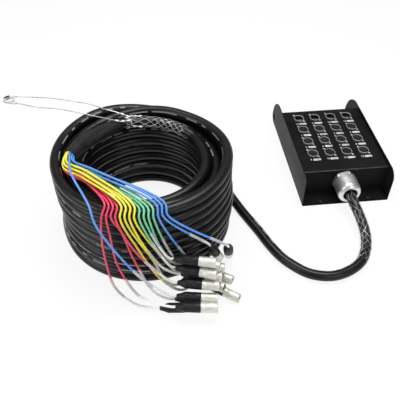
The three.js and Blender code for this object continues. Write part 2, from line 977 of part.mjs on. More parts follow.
// Where a lead lies in the bundle: across it, then up
function bundleSlot(colour, number) {
  const slot = lead_slots[colour][number - 1];
  const radius = (slot === inner ? lead_inner_circle : lead_outer_circle) / 2;
  const angle = (quarter_middle[colour] + (slot === inner ? 0 : slot)) * degree;
  return [radius * Math.cos(angle), radius * Math.sin(angle)];
}

function leadPoints(colour, number) {
  const name = colour + "_" + number;
  const [across, up] = bundleSlot(colour, number);
  const crossing = name === crossing_lead;
  const from_tip = crossing ? lead_root_length + 2 * fit_gap : fit_gap;
  const start = cable_tip.clone().addScaledVector(mouth_heading, from_tip);
  const shared = bundle_route.slice(0, crossing ? 1 : bundle_route.length);
  const centres = [start, mouth, ...shared.map(([x, y, z]) => vec(x, y, z))];
  const points = centres.map((centre, i) => {
    const free = i > 1;
    const next = centres[Math.min(i + 1, centres.length - 1)];
    const heading = free ? next.clone().sub(centres[i - 1]).normalize() : mouth_heading;
    const spread = free ? bundle_spread_shares[i - 2] : 1;
    const side = sideOf(heading);
    const rise = heading.clone().cross(side);
    const made = centre.clone().addScaledVector(side, across * spread);
    return made.addScaledVector(rise, up * spread);
  });
  if (crossing) {
    points[points.length - 1].z += crossing_lead_rise;
  } else {
    const earlier = colour_order.indexOf(colour) * leads_per_colour;
    const order = earlier + number - (colour === "blue" ? 2 : 1);
    const rim_angle = rim_from + ((rim_to - rim_from) * order) / (rim_leads - 1);
    points.push(aroundCoil([rim_angle, rim_radius, rim_z[colour]]));
    points.push(aroundCoil([rim_angle, over_rim_radius, over_rim_z]));
  }
  points.push(...lead_routes[name].map(([x, y, z]) => vec(x, y, z)));
  const { rear, ahead } = plugPlace(name);
  points.push(rear.clone().addScaledVector(ahead, -lead_tail));
  points.push(rear.clone().addScaledVector(ahead, -fit_gap));
  return points;
}

// The block that joins a colour's leads where they leave the jacket
function leadRoot(colour) {
  const reach = (lead_outer_circle + lead_diameter / 2) / 2;
  const gap = fit_gap / 2;
  const corner = new THREE.Shape([
    new THREE.Vector2(gap, gap),
    new THREE.Vector2(reach, gap),
    new THREE.Vector2(reach * Math.cos(45 * degree), reach * Math.sin(45 * degree)),
    new THREE.Vector2(gap, reach),
  ]);
  const root = new THREE.ExtrudeGeometry(corner, { depth: lead_root_length, bevelEnabled: false });
  root.rotateZ((quarter_middle[colour] - 45) * degree);
  const side = sideOf(mouth_heading);
  const rise = mouth_heading.clone().cross(side);
  const turn = new THREE.Matrix4().makeBasis(side, rise, mouth_heading.clone());
  const place = cable_tip.clone().addScaledVector(mouth_heading, fit_gap);
  return root.applyMatrix4(turn).translate(place.x, place.y, place.z);
}

function lead(colour, number) {
  return tube(leadPoints(colour, number), lead_diameter, 8);
}

// The leads of one colour, joined where they leave the jacket
function leadGroup(colour) {
  const tubes = [];
  for (let number = 1; number <= leads_per_colour; number++) {
    if (colour + "_" + number !== crossing_lead) tubes.push(lead(colour, number));
  }
  return joined(leadRoot(colour), ...tubes);
}

// Assembly

add("chassis", chassis(), powder_black, 0.5, 0.3);
add("cover", cover(), powder_black, 0.5, 0.3);
const screw_names = ["front_left", "rear_left", "front_right", "rear_right"];
footHoles().forEach((place, i) => {
  add("cover_screw_" + screw_names[i], coverScrew(place), nickel, 0.3, 0.9);
});

const [return_row, ...send_rows] = socketPlaces();
const return_letters = ["a", "b", "c", "d"];
return_row.forEach(([x, y], i) => {
  add("return_socket_" + return_letters[i], returnSocket(x, y), rubber_black, 0.5);
});
send_rows.forEach((places, row) => {
  add("send_sockets_row_" + (row + 1), sendRow(places), rubber_black, 0.5);
  places.forEach((place, column) => {
    const number = row * socket_columns + column + 1;
    add("latch_tab_" + number, latchTab(place), rubber_black, 0.4);
  });
});

add("gland_body", glandBody(), nickel, 0.25, 1);
add("gland_dome_nut", glandNut(), nickel, 0.25, 1);
add("gland_seal", glandSeal(), rubber_black, 0.8);
add("gland_locknut", glandLocknut(), nickel, 0.25, 1);
add("wiring_loom", wiringLoom(), rubber_black, 0.7);

const winding = windingPoints();
console.log("least gap of the winding to itself: " + leastGap(winding, cable_radius).toFixed(2) + " mm");
const run_points = runPoints();
add("cable_run", levelTube(run_points, cable_diameter, 10), jacket_black, 0.6);
add("cable_coil", levelTube(winding, cable_diameter, loop_sides), jacket_black, 0.6);
add("cable_end", levelTube(end_points, cable_diameter, 10), jacket_black, 0.6);
add("box_grip_mesh", meshGrip(run_points, box_grip_spans), nickel, 0.4, 0.8);
add("pull_grip_mesh", meshGrip(end_points, pull_grip_spans), nickel, 0.4, 0.8);
add("pull_wire", pullWire(), nickel, 0.4, 0.8);
add("pull_eye", pullEye(), rubber_black, 0.6);
add("breakout_boot", breakoutBoot(), jacket_black, 0.7);
for (const colour of colour_order) {
  add("leads_" + colour, leadGroup(colour), lead_colours[colour], 0.5);
}
add("lead_" + crossing_lead, lead("blue", 1), lead_colours.blue, 0.5);
for (const name of Object.keys(plug_place_shares)) {
  add("plug_" + name, plug(name), rubber_black, 0.4);
}

// The origin is under the middle of the box with its gland
const part = new THREE.Group();
snake.position.y = -origin_y;
part.add(snake);

export default part;
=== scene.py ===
# %% [markdown]
# # A stage box snake
# A stage box carries the microphone signals of a band over one thick cable. The object has three
# parts: a folded steel box with four rows of round sockets, some twenty metres of multicore cable
# wound into a tall coil, and sixteen coloured leads that fan out of the cable's end to sixteen plugs.
# The CAD model gives every place and size. This script dresses it: each cell says what a piece is,
# how it could be made in Blender, and why it is made this way.

# %% Load the frame
import math
import random

import bpy
import bmesh
import numpy as np
from mathutils import Matrix, Vector
from mathutils.geometry import tessellate_polygon


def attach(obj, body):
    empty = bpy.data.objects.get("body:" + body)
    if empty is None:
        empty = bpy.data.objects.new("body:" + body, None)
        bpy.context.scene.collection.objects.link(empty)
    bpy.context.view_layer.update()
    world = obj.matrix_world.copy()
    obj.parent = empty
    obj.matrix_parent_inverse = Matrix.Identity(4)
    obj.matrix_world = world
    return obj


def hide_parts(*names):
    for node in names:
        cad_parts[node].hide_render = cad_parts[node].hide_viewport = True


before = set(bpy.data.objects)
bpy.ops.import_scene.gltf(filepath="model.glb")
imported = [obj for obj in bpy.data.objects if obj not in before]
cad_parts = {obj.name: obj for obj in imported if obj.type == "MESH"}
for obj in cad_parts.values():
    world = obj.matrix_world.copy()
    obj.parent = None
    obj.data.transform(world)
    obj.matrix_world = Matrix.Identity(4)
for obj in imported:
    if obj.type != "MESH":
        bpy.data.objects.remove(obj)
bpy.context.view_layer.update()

# %% [markdown]
# The camera, the lamps and all the pieces go into the scene in the same way, so one function does it.

# %% Into the scene
def put_in_scene(name, data):
    """A new object in the scene, which shows some data: a mesh, a lamp or a camera."""
    made = bpy.data.objects.new(name, data)
    bpy.context.scene.collection.objects.link(made)
    return made


# %% [markdown]
# ## The camera
# The photograph was taken from the front left of the box, looking down at 44 degrees. A camera could
# be aimed with a Track To constraint, but a fitted view also has a small roll, so its three axes are
# worked out from the angles and put into the camera's matrix.

# %% Camera
AIM_DOWN, AIM_RIGHT, ROLL = (math.radians(a) for a in (44.276, 6.335, 0.166))
CAMERA_PLACE = Vector((-0.4151, -0.9784, 0.8506))
LENS_MM, SENSOR_MM = 49.13, 36

ahead = Vector((math.sin(AIM_RIGHT) * math.cos(AIM_DOWN),
                math.cos(AIM_RIGHT) * math.cos(AIM_DOWN), -math.sin(AIM_DOWN)))
level = Vector((math.cos(AIM_RIGHT), -math.sin(AIM_RIGHT), 0))
upward = level.cross(ahead)
right = math.cos(ROLL) * level + math.sin(ROLL) * upward
above = math.cos(ROLL) * upward - math.sin(ROLL) * level

camera = put_in_scene("camera", bpy.data.cameras.new("camera"))
camera.data.lens, camera.data.sensor_width = LENS_MM, SENSOR_MM
camera.data.clip_start, camera.data.clip_end = 0.01, 30
camera.matrix_world = Matrix((right, above, -ahead)).transposed().to_4x4()
camera.location = CAMERA_PLACE
bpy.context.scene.camera = camera
print("camera at", tuple(camera.location))

# %% [markdown]
# ## Millimetres on the drawing, metres in Blender
# The drawing measures everything in millimetres from the middle of the box. Blender's frame is in
# metres and its origin lies 8.5 mm further back, so one function turns the first into the second and
# every other cell stays in drawing sizes.

# %% From the drawing to the frame
DRAWING_TO_ROW = np.array([0, -8.5, 0])


def row(points):
    return (np.asarray(points, float).reshape(-1, 3) + DRAWING_TO_ROW) / 1000


print("the middle of the box in the frame:", row((0, 0, 0))[0])

# %% [markdown]
# ## Gathering faces into a piece
# Most pieces repeat a small form many times: sixteen sockets, hundreds of wire crossings. Objects
# could be duplicated and joined, but it is quicker to gather points and faces in plain lists and make
# one mesh from them. Each face remembers its finish, and faces on a tube get UV coordinates: once
# round the tube, and metres along it, so that a pattern can follow a cable.

# %% The gathering class
BODY = "snake"


def band(low, high, sides):
    """The faces between two rings of points, whose first points have the numbers low and high."""
    return [(low + k, low + (k + 1) % sides, high + (k + 1) % sides, high + k) for k in range(sides)]


class Gathered:
    def __init__(self):
        self.points, self.faces, self.finishes, self.uvs = [], [], [], []

    def add(self, points, faces, finish=0, uvs=None):
        first = len(self.points)
        self.points.extend(np.asarray(points, float).reshape(-1, 3).tolist())
        for i, face in enumerate(faces):
            self.faces.append([first + int(corner) for corner in face])
            self.finishes.append(finish)
            self.uvs.append(uvs[i] if uvs else [(0.0, 0.0)] * len(face))

    def mesh(self, name, finishes, metres, sharp=35, along=True):
        """One smooth mesh, with sharp edges where two faces meet at more than sharp degrees."""
        mesh = bpy.data.meshes.new(name)
        mesh.from_pydata(metres.tolist(), [], self.faces)
        mesh.polygons.foreach_set("material_index", self.finishes)
        if along:
            layer = mesh.uv_layers.new(name="along")
            layer.data.foreach_set("uv", [v for face in self.uvs for corner in face for v in corner])
        for finish in finishes:
            mesh.materials.append(finish)
        whole = bmesh.new()
        whole.from_mesh(mesh)
        bmesh.ops.recalc_face_normals(whole, faces=whole.faces)
        whole.to_mesh(mesh)
        whole.free()
        mesh.shade_smooth()
        mesh.set_sharp_from_angle(angle=math.radians(sharp))
        print(f"{name}: {len(self.faces)} faces")
        return mesh

    def make(self, name, finishes, replaces=(), body=BODY, sharp=35):
        """A piece that rides on a body and may stand for CAD nodes."""
        mesh = self.mesh(name, finishes, row(self.points), sharp)
        piece = put_in_scene(name, mesh)
        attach(piece, body)
        if replaces:
            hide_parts(*replaces)
        return piece


# %% [markdown]
# ## Lines to lay a tube along
# A cable's middle is a list of given points. A Bezier curve with automatic handles would join
# them, but its handles overshoot where the points lie unevenly. A centripetal Catmull-Rom curve passes
# through every point and never loops. Along it go cross-sections that must not twist: each one is the
# last one turned by the least angle.

# %% Smooth lines and their cross-sections
def smooth(points, step):
    """Points about step apart on a centripetal Catmull-Rom curve."""
    points = np.asarray(points, float)
    ends = 2 * points[[0, -1]] - points[[1, -2]]
    p = np.vstack([ends[:1], points, ends[1:]])
    gap = np.sqrt(np.linalg.norm(np.diff(p, axis=0), axis=1))
    pieces = []
    for i in range(1, len(p) - 2):
        count = max(1, int(round(gap[i] ** 2 / step)))
        t = (np.arange(count) / count)[:, None]
        a, b, c = gap[i - 1], gap[i], gap[i + 1]
        leave = ((p[i] - p[i - 1]) / a - (p[i + 1] - p[i - 1]) / (a + b) + (p[i + 1] - p[i]) / b) * b
        reach = ((p[i + 1] - p[i]) / b - (p[i + 2] - p[i]) / (b + c) + (p[i + 2] - p[i + 1]) / c) * b
        pieces.append((2 * t**3 - 3 * t**2 + 1) * p[i] + (t**3 - 2 * t**2 + t) * leave
                      + (3 * t**2 - 2 * t**3) * p[i + 1] + (t**3 - t**2) * reach)
    return np.vstack([*pieces, points[-1:]])


class Line:
    """A smooth line with its length so far and two directions across it at each point."""

    def __init__(self, points, step=None):
        self.points = smooth(points, step) if step else np.asarray(points, float)
        gaps = np.linalg.norm(np.diff(self.points, axis=0), axis=1)
        self.along = np.concatenate([[0], np.cumsum(gaps)])
        self.heading = np.gradient(self.points, axis=0)
        self.heading /= np.linalg.norm(self.heading, axis=1)[:, None]
        across = np.cross(self.heading[0], [0, 0, 1])
        if np.linalg.norm(across) < 0.1:
            across = np.cross(self.heading[0], [0, 1, 0])
        self.side = []
        for heading in self.heading:
            across = across - heading * (across @ heading)
            across = across / np.linalg.norm(across)
            self.side.append(across)
        self.side = np.array(self.side)
        self.up = np.cross(self.side, self.heading)

    @property
    def length(self):
        return self.along[-1]

    def nearest(self, place):
        """The length along the line at its point nearest to a place."""
        return float(self.along[np.linalg.norm(self.points - place, axis=1).argmin()])

    def stations(self, radius, step=None):
        """A ring of one radius at each of the line's points, or about every step of its length."""
        places = self.along
        if step:
            places = np.linspace(0, self.length, max(2, int(self.length / step) + 1))
        return [(place, radius) for place in places]

    def at(self, place, radius=0.0, turn=0.0):
        """Points at some length along the line, off its middle by radius at an angle round it."""
        asked = np.broadcast_arrays(*(np.asarray(v, float) for v in (place, radius, turn)))
        place, radius, turn = (v.ravel() for v in asked)
        mix = [np.interp(place, self.along, table[:, k])
               for table in (self.points, self.side, self.up) for k in range(3)]
        middle, side, up = (np.stack(mix[k:k + 3], 1) for k in (0, 3, 6))
        turn, radius = turn[:, None], radius[:, None]
        return middle + radius * (np.cos(turn) * side + np.sin(turn) * up)


def lay_tube(gathered, line, stations, sides, loop=False):
    """A tube with a ring at each station, which is a length along the line and a radius there.
    Where loop is true the last ring joins the first, which makes a sleeve with a wall."""
    stations = np.asarray(stations, float)
    count = len(stations)
    turns = np.linspace(0, 2 * math.pi, sides, endpoint=False)
    points = line.at(np.repeat(stations[:, 0], sides), np.repeat(stations[:, 1], sides),
                     np.tile(turns, count))
    faces, uvs = [], []
    for i in range(count if loop else count - 1):
        j = (i + 1) % count
        faces += band(i * sides, j * sides, sides)
        v0, v1 = stations[i, 0] / 1000, stations[j, 0] / 1000
        for k in range(sides):
            u0, u1 = k / sides, (k + 1) / sides
            uvs.append([(u0, v0), (u1, v0), (u1, v1), (u0, v1)])
    if not loop:
        faces += [list(range(sides))[::-1], [(count - 1) * sides + k for k in range(sides)]]
        uvs += [[(0, 0)] * sides] * 2
    gathered.add(points, faces, uvs=uvs)


# %% [markdown]
# ## Turned and flat forms
# Screws, rings, plugs and pins are turned on a lathe, so they are a profile swept round an axis.
# Blender's Screw modifier does that too. Doing it in code lets one function place the result on any
# axis. Plates with holes are stacks of loops whose caps are filled by Blender's own polygon filler.

# %% Lathe and plate
def turned(gathered, profile, sides=32, finish=0, place=(0, 0, 0), axis=(0, 0, 1), closed=False):
    """profile holds (radius, height) pairs. Pairs on the axis become one point."""
    turn = Vector((0, 0, 1)).rotation_difference(Vector(axis)).to_matrix()
    rings, points, faces = [], [], []
    for radius, height in profile:
        if radius < 1e-6:
            rings.append([len(points)])
            points.append((0, 0, height))
            continue
        rings.append(list(range(len(points), len(points) + sides)))
        for k in range(sides):
            angle = 2 * math.pi * k / sides
            points.append((radius * math.cos(angle), radius * math.sin(angle), height))
    pairs = list(zip(rings, rings[1:])) + ([(rings[-1], rings[0])] if closed else [])
    for low, high in pairs:
        for k in range(sides):
            n = (k + 1) % sides
            corners = [low[k % len(low)], low[n % len(low)], high[n % len(high)], high[k % len(high)]]
            corners = [c for i, c in enumerate(corners) if c not in corners[:i]]
            if len(corners) > 2:
                faces.append(corners)
    placed = np.array(points) @ np.array(turn).T + np.array(place)
    gathered.add(placed, faces, finish)


def circle(radius, count=32, x=0.0, y=0.0):
    angles = np.linspace(0, 2 * math.pi, count, endpoint=False)
    return [(x + radius * math.cos(a), y + radius * math.sin(a)) for a in angles]


CORNER_STEPS = 4


def rounded_box(width, length, radius):
    loop = []
    for cx, cy, first in ((1, 1, 0), (-1, 1, 90), (-1, -1, 180), (1, -1, 270)):
        for k in range(CORNER_STEPS + 1):
            a = math.radians(first + 90 * k / CORNER_STEPS)
            loop.append((cx * (width / 2 - radius) + radius * math.cos(a),
                         cy * (length / 2 - radius) + radius * math.sin(a)))
    return loop


def plate(gathered, outer, holes=(), finish=0, place=(0, 0, 0), bottom=True):
    """outer and each hole are stacks of (loop, z), from the bottom up. All loops of one stack have the
    same number of points."""
    stacks = [outer, *holes]
    for stack in stacks:
        count = len(stack[0][0])
        points = [(x, y, z) for loop, z in stack for x, y in loop]
        faces = []
        for i in range(len(stack) - 1):
            faces += band(i * count, (i + 1) * count, count)
        gathered.add(np.array(points) + place, faces, finish)
    for level in ([-1, 0] if bottom else [-1]):
        loops = [[Vector((x, y, 0)) for x, y in stack[level][0]] for stack in stacks]
        z = stacks[0][level][1]
        flat = [(p.x, p.y, z) for loop in loops for p in loop]
        gathered.add(np.array(flat) + place, tessellate_polygon(loops), finish)


# %% [markdown]
# ## Finishes that share their effects
# No real surface is one flat colour. Grain and settled dust come back on many of these finishes. They
# could be copied into each material, but a node group with named sockets is built once: a material
# puts the group in, gives it its own values and feeds the masks to its own Principled shader.

# %% Helpers for node trees
def group(name, inputs, outputs):
    """An empty node group with number sockets, and the nodes for what goes in and comes out."""
    tree = bpy.data.node_groups.new(name, "ShaderNodeTree")
    for socket, value in inputs.items():
        made = tree.interface.new_socket(socket, in_out="INPUT", socket_type="NodeSocketFloat")
        made.default_value = value
    for socket in outputs:
        tree.interface.new_socket(socket, in_out="OUTPUT", socket_type="NodeSocketFloat")
    return tree, tree.nodes.new("NodeGroupInput"), tree.nodes.new("NodeGroupOutput")


def feed(tree, socket, value):
    """Links an output to a socket, or sets the socket's value. A colour gets an alpha of 1."""
    if isinstance(value, bpy.types.NodeSocket):
        tree.links.new(value, socket)
    elif socket.type == "RGBA":
        socket.default_value = (*value, 1)
    else:
        socket.default_value = value


def node(tree, kind, settings=(), **inputs):
    """A node with its settings and inputs. An input goes by its name, or by its place as in i0."""
    made = tree.nodes.new("ShaderNode" + kind)
    for name, value in dict(settings).items():
        setattr(made, name, value)
    for name, value in inputs.items():
        numbered = name[0] == "i" and name[1:].isdigit()
        feed(tree, made.inputs[int(name[1:]) if numbered else name.replace("_", " ")], value)
    return made


def maths(tree, operation, first, second=0.0):
    return node(tree, "Math", {"operation": operation}, i0=first, i1=second).outputs[0]


def blend(tree, mask, first, second):
    """The first colour where the mask is 0 and the second where it is 1."""
    return node(tree, "Mix", {"data_type": "RGBA"}, i0=mask, i6=first, i7=second).outputs[2]


def between(tree, value, low, high, from_low=0.0, from_high=1.0):
    """Stretches a value from one range to another and holds it at the ends."""
    return node(tree, "MapRange", i0=value, i1=from_low, i2=from_high, i3=low, i4=high).outputs[0]


def noise(tree, scale, detail, **more):
    """Noise in the object's own coordinates."""
    where = tree.nodes.new("ShaderNodeTexCoord").outputs["Object"]
    return node(tree, "TexNoise", Vector=where, Scale=scale, Detail=detail, **more).outputs["Fac"]


def facing_up(tree):
    """The height of the surface's normal: 1 where it faces straight up and 0 on an upright wall."""
    normal = tree.nodes.new("ShaderNodeNewGeometry").outputs["Normal"]
    return node(tree, "SeparateXYZ", Vector=normal).outputs["Z"]


# %% [markdown]
# Grain is two noises in object coordinates: a fine one for the tooth of the surface, and a coarse one
# that makes neighbouring places a little lighter or darker.

# %% Group: surface grain
grain, g_in, g_out = group("surface grain", {"Fine Scale": 900.0, "Coarse Scale": 30.0},
                           ("Height", "Mottle"))
fine = noise(grain, g_in.outputs["Fine Scale"], 3.0, Roughness=0.6)
coarse = noise(grain, g_in.outputs["Coarse Scale"], 4.0)
grain.links.new(fine, g_out.inputs["Height"])
grain.links.new(between(grain, coarse, 0.0, 1.0, 0.3, 0.7), g_out.inputs["Mottle"])
print("group made:", grain.name)

# %% [markdown]
# Dust settles on what faces up. The surface's own normal says which way it faces, and a noise breaks
# the film into patches.

# %% Group: settled dust
dust, d_in, d_out = group("settled dust", {"Amount": 0.3, "Patch Scale": 60.0}, ("Mask",))
patches = noise(dust, d_in.outputs["Patch Scale"], 5.0)
upward_mask = between(dust, facing_up(dust), 0.0, 1.0, 0.35, 1.0)
patch_mask = between(dust, patches, 0.0, 1.0, 0.4, 0.75)
settled = maths(dust, "MULTIPLY", upward_mask, patch_mask)
dust.links.new(maths(dust, "MULTIPLY", settled, d_in.outputs["Amount"]), d_out.inputs["Mask"])
print("group made:", dust.name)

# %% [markdown]
# Every finish starts the same way: a Principled shader with the grain group's mottle between two close
# colours and two close roughnesses, and its fine noise as a bump. The helper makes that much; a finish
# that needs more adds its own nodes to what it returns.

# %% The common start of a finish
DUST_TINT, DUST_DULLS, GRAIN_DEPTH = (0.32, 0.31, 0.29), 0.4, 0.0001


def finish(name, dark, light, smoother, rougher, bump=0.2, fine=900.0, coarse=30.0, dusty=0.0, **plain):
    """plain holds values for the shader's own sockets."""
    material = bpy.data.materials.new(name)
    material.use_nodes = True
    tree = material.node_tree
    shader = tree.nodes["Principled BSDF"]
    for socket, value in plain.items():
        shader.inputs[socket.replace("_", " ")].default_value = value
    surface = node(tree, "Group", {"node_tree": grain}, Fine_Scale=fine, Coarse_Scale=coarse)
    tint = blend(tree, surface.outputs["Mottle"], dark, light)
    rough = between(tree, surface.outputs["Mottle"], smoother, rougher)
    if dusty:
        film = node(tree, "Group", {"node_tree": dust}, Amount=dusty).outputs["Mask"]
        tint = blend(tree, film, tint, DUST_TINT)
        rough = maths(tree, "ADD", rough, maths(tree, "MULTIPLY", film, DUST_DULLS))
    tree.links.new(tint, shader.inputs["Base Color"])
    tree.links.new(rough, shader.inputs["Roughness"])
    relief = node(tree, "Bump", Strength=bump, Distance=GRAIN_DEPTH, Height=surface.outputs["Height"])
    tree.links.new(relief.outputs["Normal"], shader.inputs["Normal"])
    return material


def lay_over(material, effect, tint, **values):
    """Lays a tint over a finish, where an effect's mask says so."""
    tree = material.node_tree
    base = tree.nodes["Principled BSDF"].inputs["Base Color"]
    mask = node(tree, "Group", {"node_tree": effect}, **values).outputs["Mask"]
    tree.links.new(blend(tree, mask, base.links[0].from_socket, tint), base)


# %% [markdown]
# A painted highlight runs along the upper folds of the box: a paler grey line that stands for the
# overhead light caught by the bends. A fold is where the normal points neither up nor sideways, above a
# certain height, and a noise makes the painted line uneven. Blender's Pointiness could find edges too,
# but it needs a dense mesh, and these bends are narrow strips.

# %% Group: painted fold highlight
folds, f_in, f_out = group("painted fold highlight", {"Amount": 0.5, "Breakup Scale": 40.0, "Above": 0.04},
                           ("Mask",))
facing, breakup = facing_up(folds), noise(folds, f_in.outputs["Breakup Scale"], 2.0)
tilted = maths(folds, "MULTIPLY", between(folds, facing, 0.0, 1.0, 0.3, 0.6),
               between(folds, facing, 1.0, 0.0, 0.8, 0.95))
where = folds.nodes.new("ShaderNodeTexCoord").outputs["Object"]
height = node(folds, "SeparateXYZ", Vector=where).outputs["Z"]
tilted = maths(folds, "MULTIPLY", tilted, maths(folds, "GREATER_THAN", height, f_in.outputs["Above"]))
uneven = between(folds, breakup, 0.6, 1.0, 0.35, 0.65)
painted_fold_line = maths(folds, "MULTIPLY", tilted, uneven)
folds.links.new(maths(folds, "MULTIPLY", painted_fold_line, f_in.outputs["Amount"]), f_out.inputs["Mask"])
print("group made:", folds.name)

# %% [markdown]
# A fine line of pale ticks runs along the cable's jacket. A picture of them would have to be unwrapped
# over twenty metres. The tube's UV coordinates already say how far round and how far along a place is,
# so arithmetic draws them: a slow wave lets the line wander round the cable, a noise parts the ticks
# into clumps, and a stretch of them comes again every metre.

# %% Group: printed ticks
ticks, t_in, t_out = group("printed ticks", {"Height Share": 0.042, "Tick Metres": 0.0026}, ("Mask",))
place = node(ticks, "SeparateXYZ", Vector=node(ticks, "UVMap", {"uv_map": "along"}).outputs["UV"])
round_it, along_it = place.outputs["X"], place.outputs["Y"]
WAVE_TURN, WAVE_PHASE, WAVE_REACH, WAVE_MIDDLE = 1.4, 0.05, 0.14, 0.06
TICK_WIDTH, CLUMPS_A_METRE, CLUMP_OVER = 0.72, 38.0, 0.47
STRETCH_SHIFT, STRETCH = 0.1, 0.62


def tick_maths(operation, first, second=0.0):
    return maths(ticks, operation, first, second)


wave = tick_maths("SINE", tick_maths("ADD", tick_maths("MULTIPLY", along_it, WAVE_TURN), WAVE_PHASE))
centre = tick_maths("ADD", tick_maths("MULTIPLY", wave, WAVE_REACH), WAVE_MIDDLE)
off_line = tick_maths("FRACT", tick_maths("ADD", tick_maths("SUBTRACT", round_it, centre), 0.5))
off_line = tick_maths("ABSOLUTE", tick_maths("SUBTRACT", off_line, 0.5))
in_band = tick_maths("LESS_THAN", off_line, tick_maths("MULTIPLY", t_in.outputs["Height Share"], 0.5))
tick = tick_maths("FRACT", tick_maths("DIVIDE", along_it, t_in.outputs["Tick Metres"]))
clump = node(ticks, "TexNoise", {"noise_dimensions": "1D"}, Scale=1.0, Detail=0.0,
             W=tick_maths("MULTIPLY", along_it, CLUMPS_A_METRE)).outputs["Fac"]
stretch = tick_maths("FRACT", tick_maths("ADD", along_it, STRETCH_SHIFT))
printed = tick_maths("MULTIPLY", in_band, tick_maths("LESS_THAN", tick, TICK_WIDTH))
printed = tick_maths("MULTIPLY", printed, tick_maths("GREATER_THAN", clump, CLUMP_OVER))
printed = tick_maths("MULTIPLY", printed, tick_maths("LESS_THAN", stretch, STRETCH))
ticks.links.new(printed, t_out.inputs["Mask"])
print("group made:", ticks.name)

# %% [markdown]
# ## The finishes of this object
# The black finishes differ in sheen more than in colour: powder coat is satin with a fine orange peel,
# the cable jacket is smooth with a soft shine, and the plug bodies are duller moulded plastic.

# %% Blacks
powder_coat = finish("powder_coat", (0.008, 0.008, 0.009), (0.013, 0.013, 0.014), 0.3, 0.37, bump=0.3,
                     fine=1400, coarse=12, dusty=0.01, Specular_IOR_Level=0.03)
# A paler grey painted along the upper folds stands for the highlight of the overhead light on the bends.
lay_over(powder_coat, folds, (0.11, 0.11, 0.11), Amount=0.8)
jacket = finish("cable_jacket", (0.005, 0.005, 0.006), (0.008, 0.008, 0.009), 0.27, 0.35, bump=0.12,
                fine=1600, coarse=24, dusty=0.01, Specular_IOR_Level=0.29)
lay_over(jacket, ticks, (0.36, 0.36, 0.36))
boot_finish = finish("boot", (0.010, 0.010, 0.011), (0.017, 0.017, 0.018), 0.5, 0.62, bump=0.5,
                     fine=700, coarse=40, dusty=0.02, Specular_IOR_Level=0.22)
socket_black = finish("socket_black", (0.010, 0.010, 0.010), (0.017, 0.017, 0.017), 0.36, 0.5, bump=0.2,
                      Specular_IOR_Level=0.3)
latch_black = finish("latch_black", (0.012, 0.012, 0.012), (0.02, 0.02, 0.02), 0.3, 0.42, bump=0.15,
                     Specular_IOR_Level=0.3)
plug_black = finish("plug_shell", (0.007, 0.007, 0.008), (0.013, 0.013, 0.014), 0.4, 0.55, bump=0.3,
                    fine=1800, coarse=60, Specular_IOR_Level=0.3)
seal_rubber = finish("seal_rubber", (0.012, 0.012, 0.012), (0.02, 0.02, 0.02), 0.7, 0.85, bump=0.3)
print("finishes so far:", len(bpy.data.materials))

# %% [markdown]
# Bright metal shows its surroundings, so its own colour hardly varies and its roughness does the work.
# Nickel plate and bright wire are mixed with a little plain white, by a metallic value under 1, because
# many small curved faces in a white room look paler than one mirror does.

# %% Metals
gland_nickel = finish("gland_nickel", (0.70, 0.70, 0.72), (0.82, 0.82, 0.84), 0.28, 0.4, bump=0.08,
                      fine=500, coarse=50, Metallic=0.88)
shell_nickel = finish("shell_nickel", (0.70, 0.70, 0.64), (0.80, 0.80, 0.74), 0.4, 0.5, bump=0.06,
                      fine=700, coarse=90, Metallic=0.55)
rim_nickel = finish("rim_nickel", (0.62, 0.62, 0.6), (0.74, 0.74, 0.72), 0.34, 0.46, bump=0.05,
                    Metallic=0.7)
foot_screw = finish("foot_screw", (0.02, 0.02, 0.02), (0.035, 0.035, 0.035), 0.4, 0.55, Metallic=0.3)
screw_zinc = finish("screw_zinc", (0.5, 0.5, 0.49), (0.64, 0.64, 0.62), 0.25, 0.4, bump=0.08,
                    Metallic=1.0)
contact_brass = finish("contact_brass", (0.5, 0.42, 0.25), (0.62, 0.53, 0.34), 0.25, 0.4, Metallic=1.0)
pin_silver = finish("pin_silver", (0.78, 0.78, 0.77), (0.9, 0.9, 0.89), 0.22, 0.34, Metallic=1.0)
steel_wire = finish("steel_wire", (0.52, 0.52, 0.52), (0.7, 0.7, 0.69), 0.34, 0.48, bump=0.1,
                    fine=2500, coarse=300, Metallic=1.0)
bright_wire = finish("bright_wire", (0.78, 0.78, 0.77), (0.9, 0.9, 0.89), 0.38, 0.5, bump=0.1,
                     fine=2500, coarse=300, Metallic=0.7)
print("finishes so far:", len(bpy.data.materials))

# %% [markdown]
# The leads are coloured PVC. The sleeves over their ends are clear where they grip the coloured jacket
# and white from there to the plug.

# %% Leads, sleeves and strips
LEAD_COLOURS = {"red": (242, 70, 106), "yellow": (250, 238, 70), "green": (122, 212, 162),
                "blue": (92, 156, 240)}


def colour(screen):
    """The linear colour of a screen colour whose parts lie between 11 and 255."""
    return ((np.array(screen) / 255 + 0.055) / 1.055) ** 2.4


lead_finishes = {}
for name, screen in LEAD_COLOURS.items():
    tone = colour(screen)
    lead_finishes[name] = finish("lead_" + name, tuple(tone * 0.86), tuple(tone), 0.3, 0.42, bump=0.08,
                                 fine=1500, coarse=60)
white_sleeve = finish("white_sleeve", (0.88, 0.88, 0.86), (0.94, 0.94, 0.92), 0.35, 0.5, bump=0.1,
                      fine=900, coarse=120)
clear_sleeve = finish("clear_sleeve", (0.8, 0.8, 0.8), (0.9, 0.9, 0.9), 0.15, 0.3, bump=0.15,
                      fine=600, coarse=150, Alpha=0.45)
liner = finish("thimble", (0.6, 0.6, 0.59), (0.72, 0.72, 0.7), 0.2, 0.35, bump=0.15, Alpha=0.6)
# The write-on strips are mottled from dark grey to white: the grey patches are painted shade on white
# strips.
strip_white = finish("strip_white", (0.30, 0.30, 0.29), (0.78, 0.78, 0.77), 0.4, 0.6, bump=0.1,
                     fine=1200, coarse=110)
number_ink = finish("number_ink", (0.74, 0.74, 0.73), (0.84, 0.84, 0.83), 0.5, 0.6, bump=0.05)
loom_finish = finish("loom", (0.02, 0.02, 0.02), (0.035, 0.035, 0.035), 0.5, 0.6)
print("finishes made:", len(bpy.data.materials))

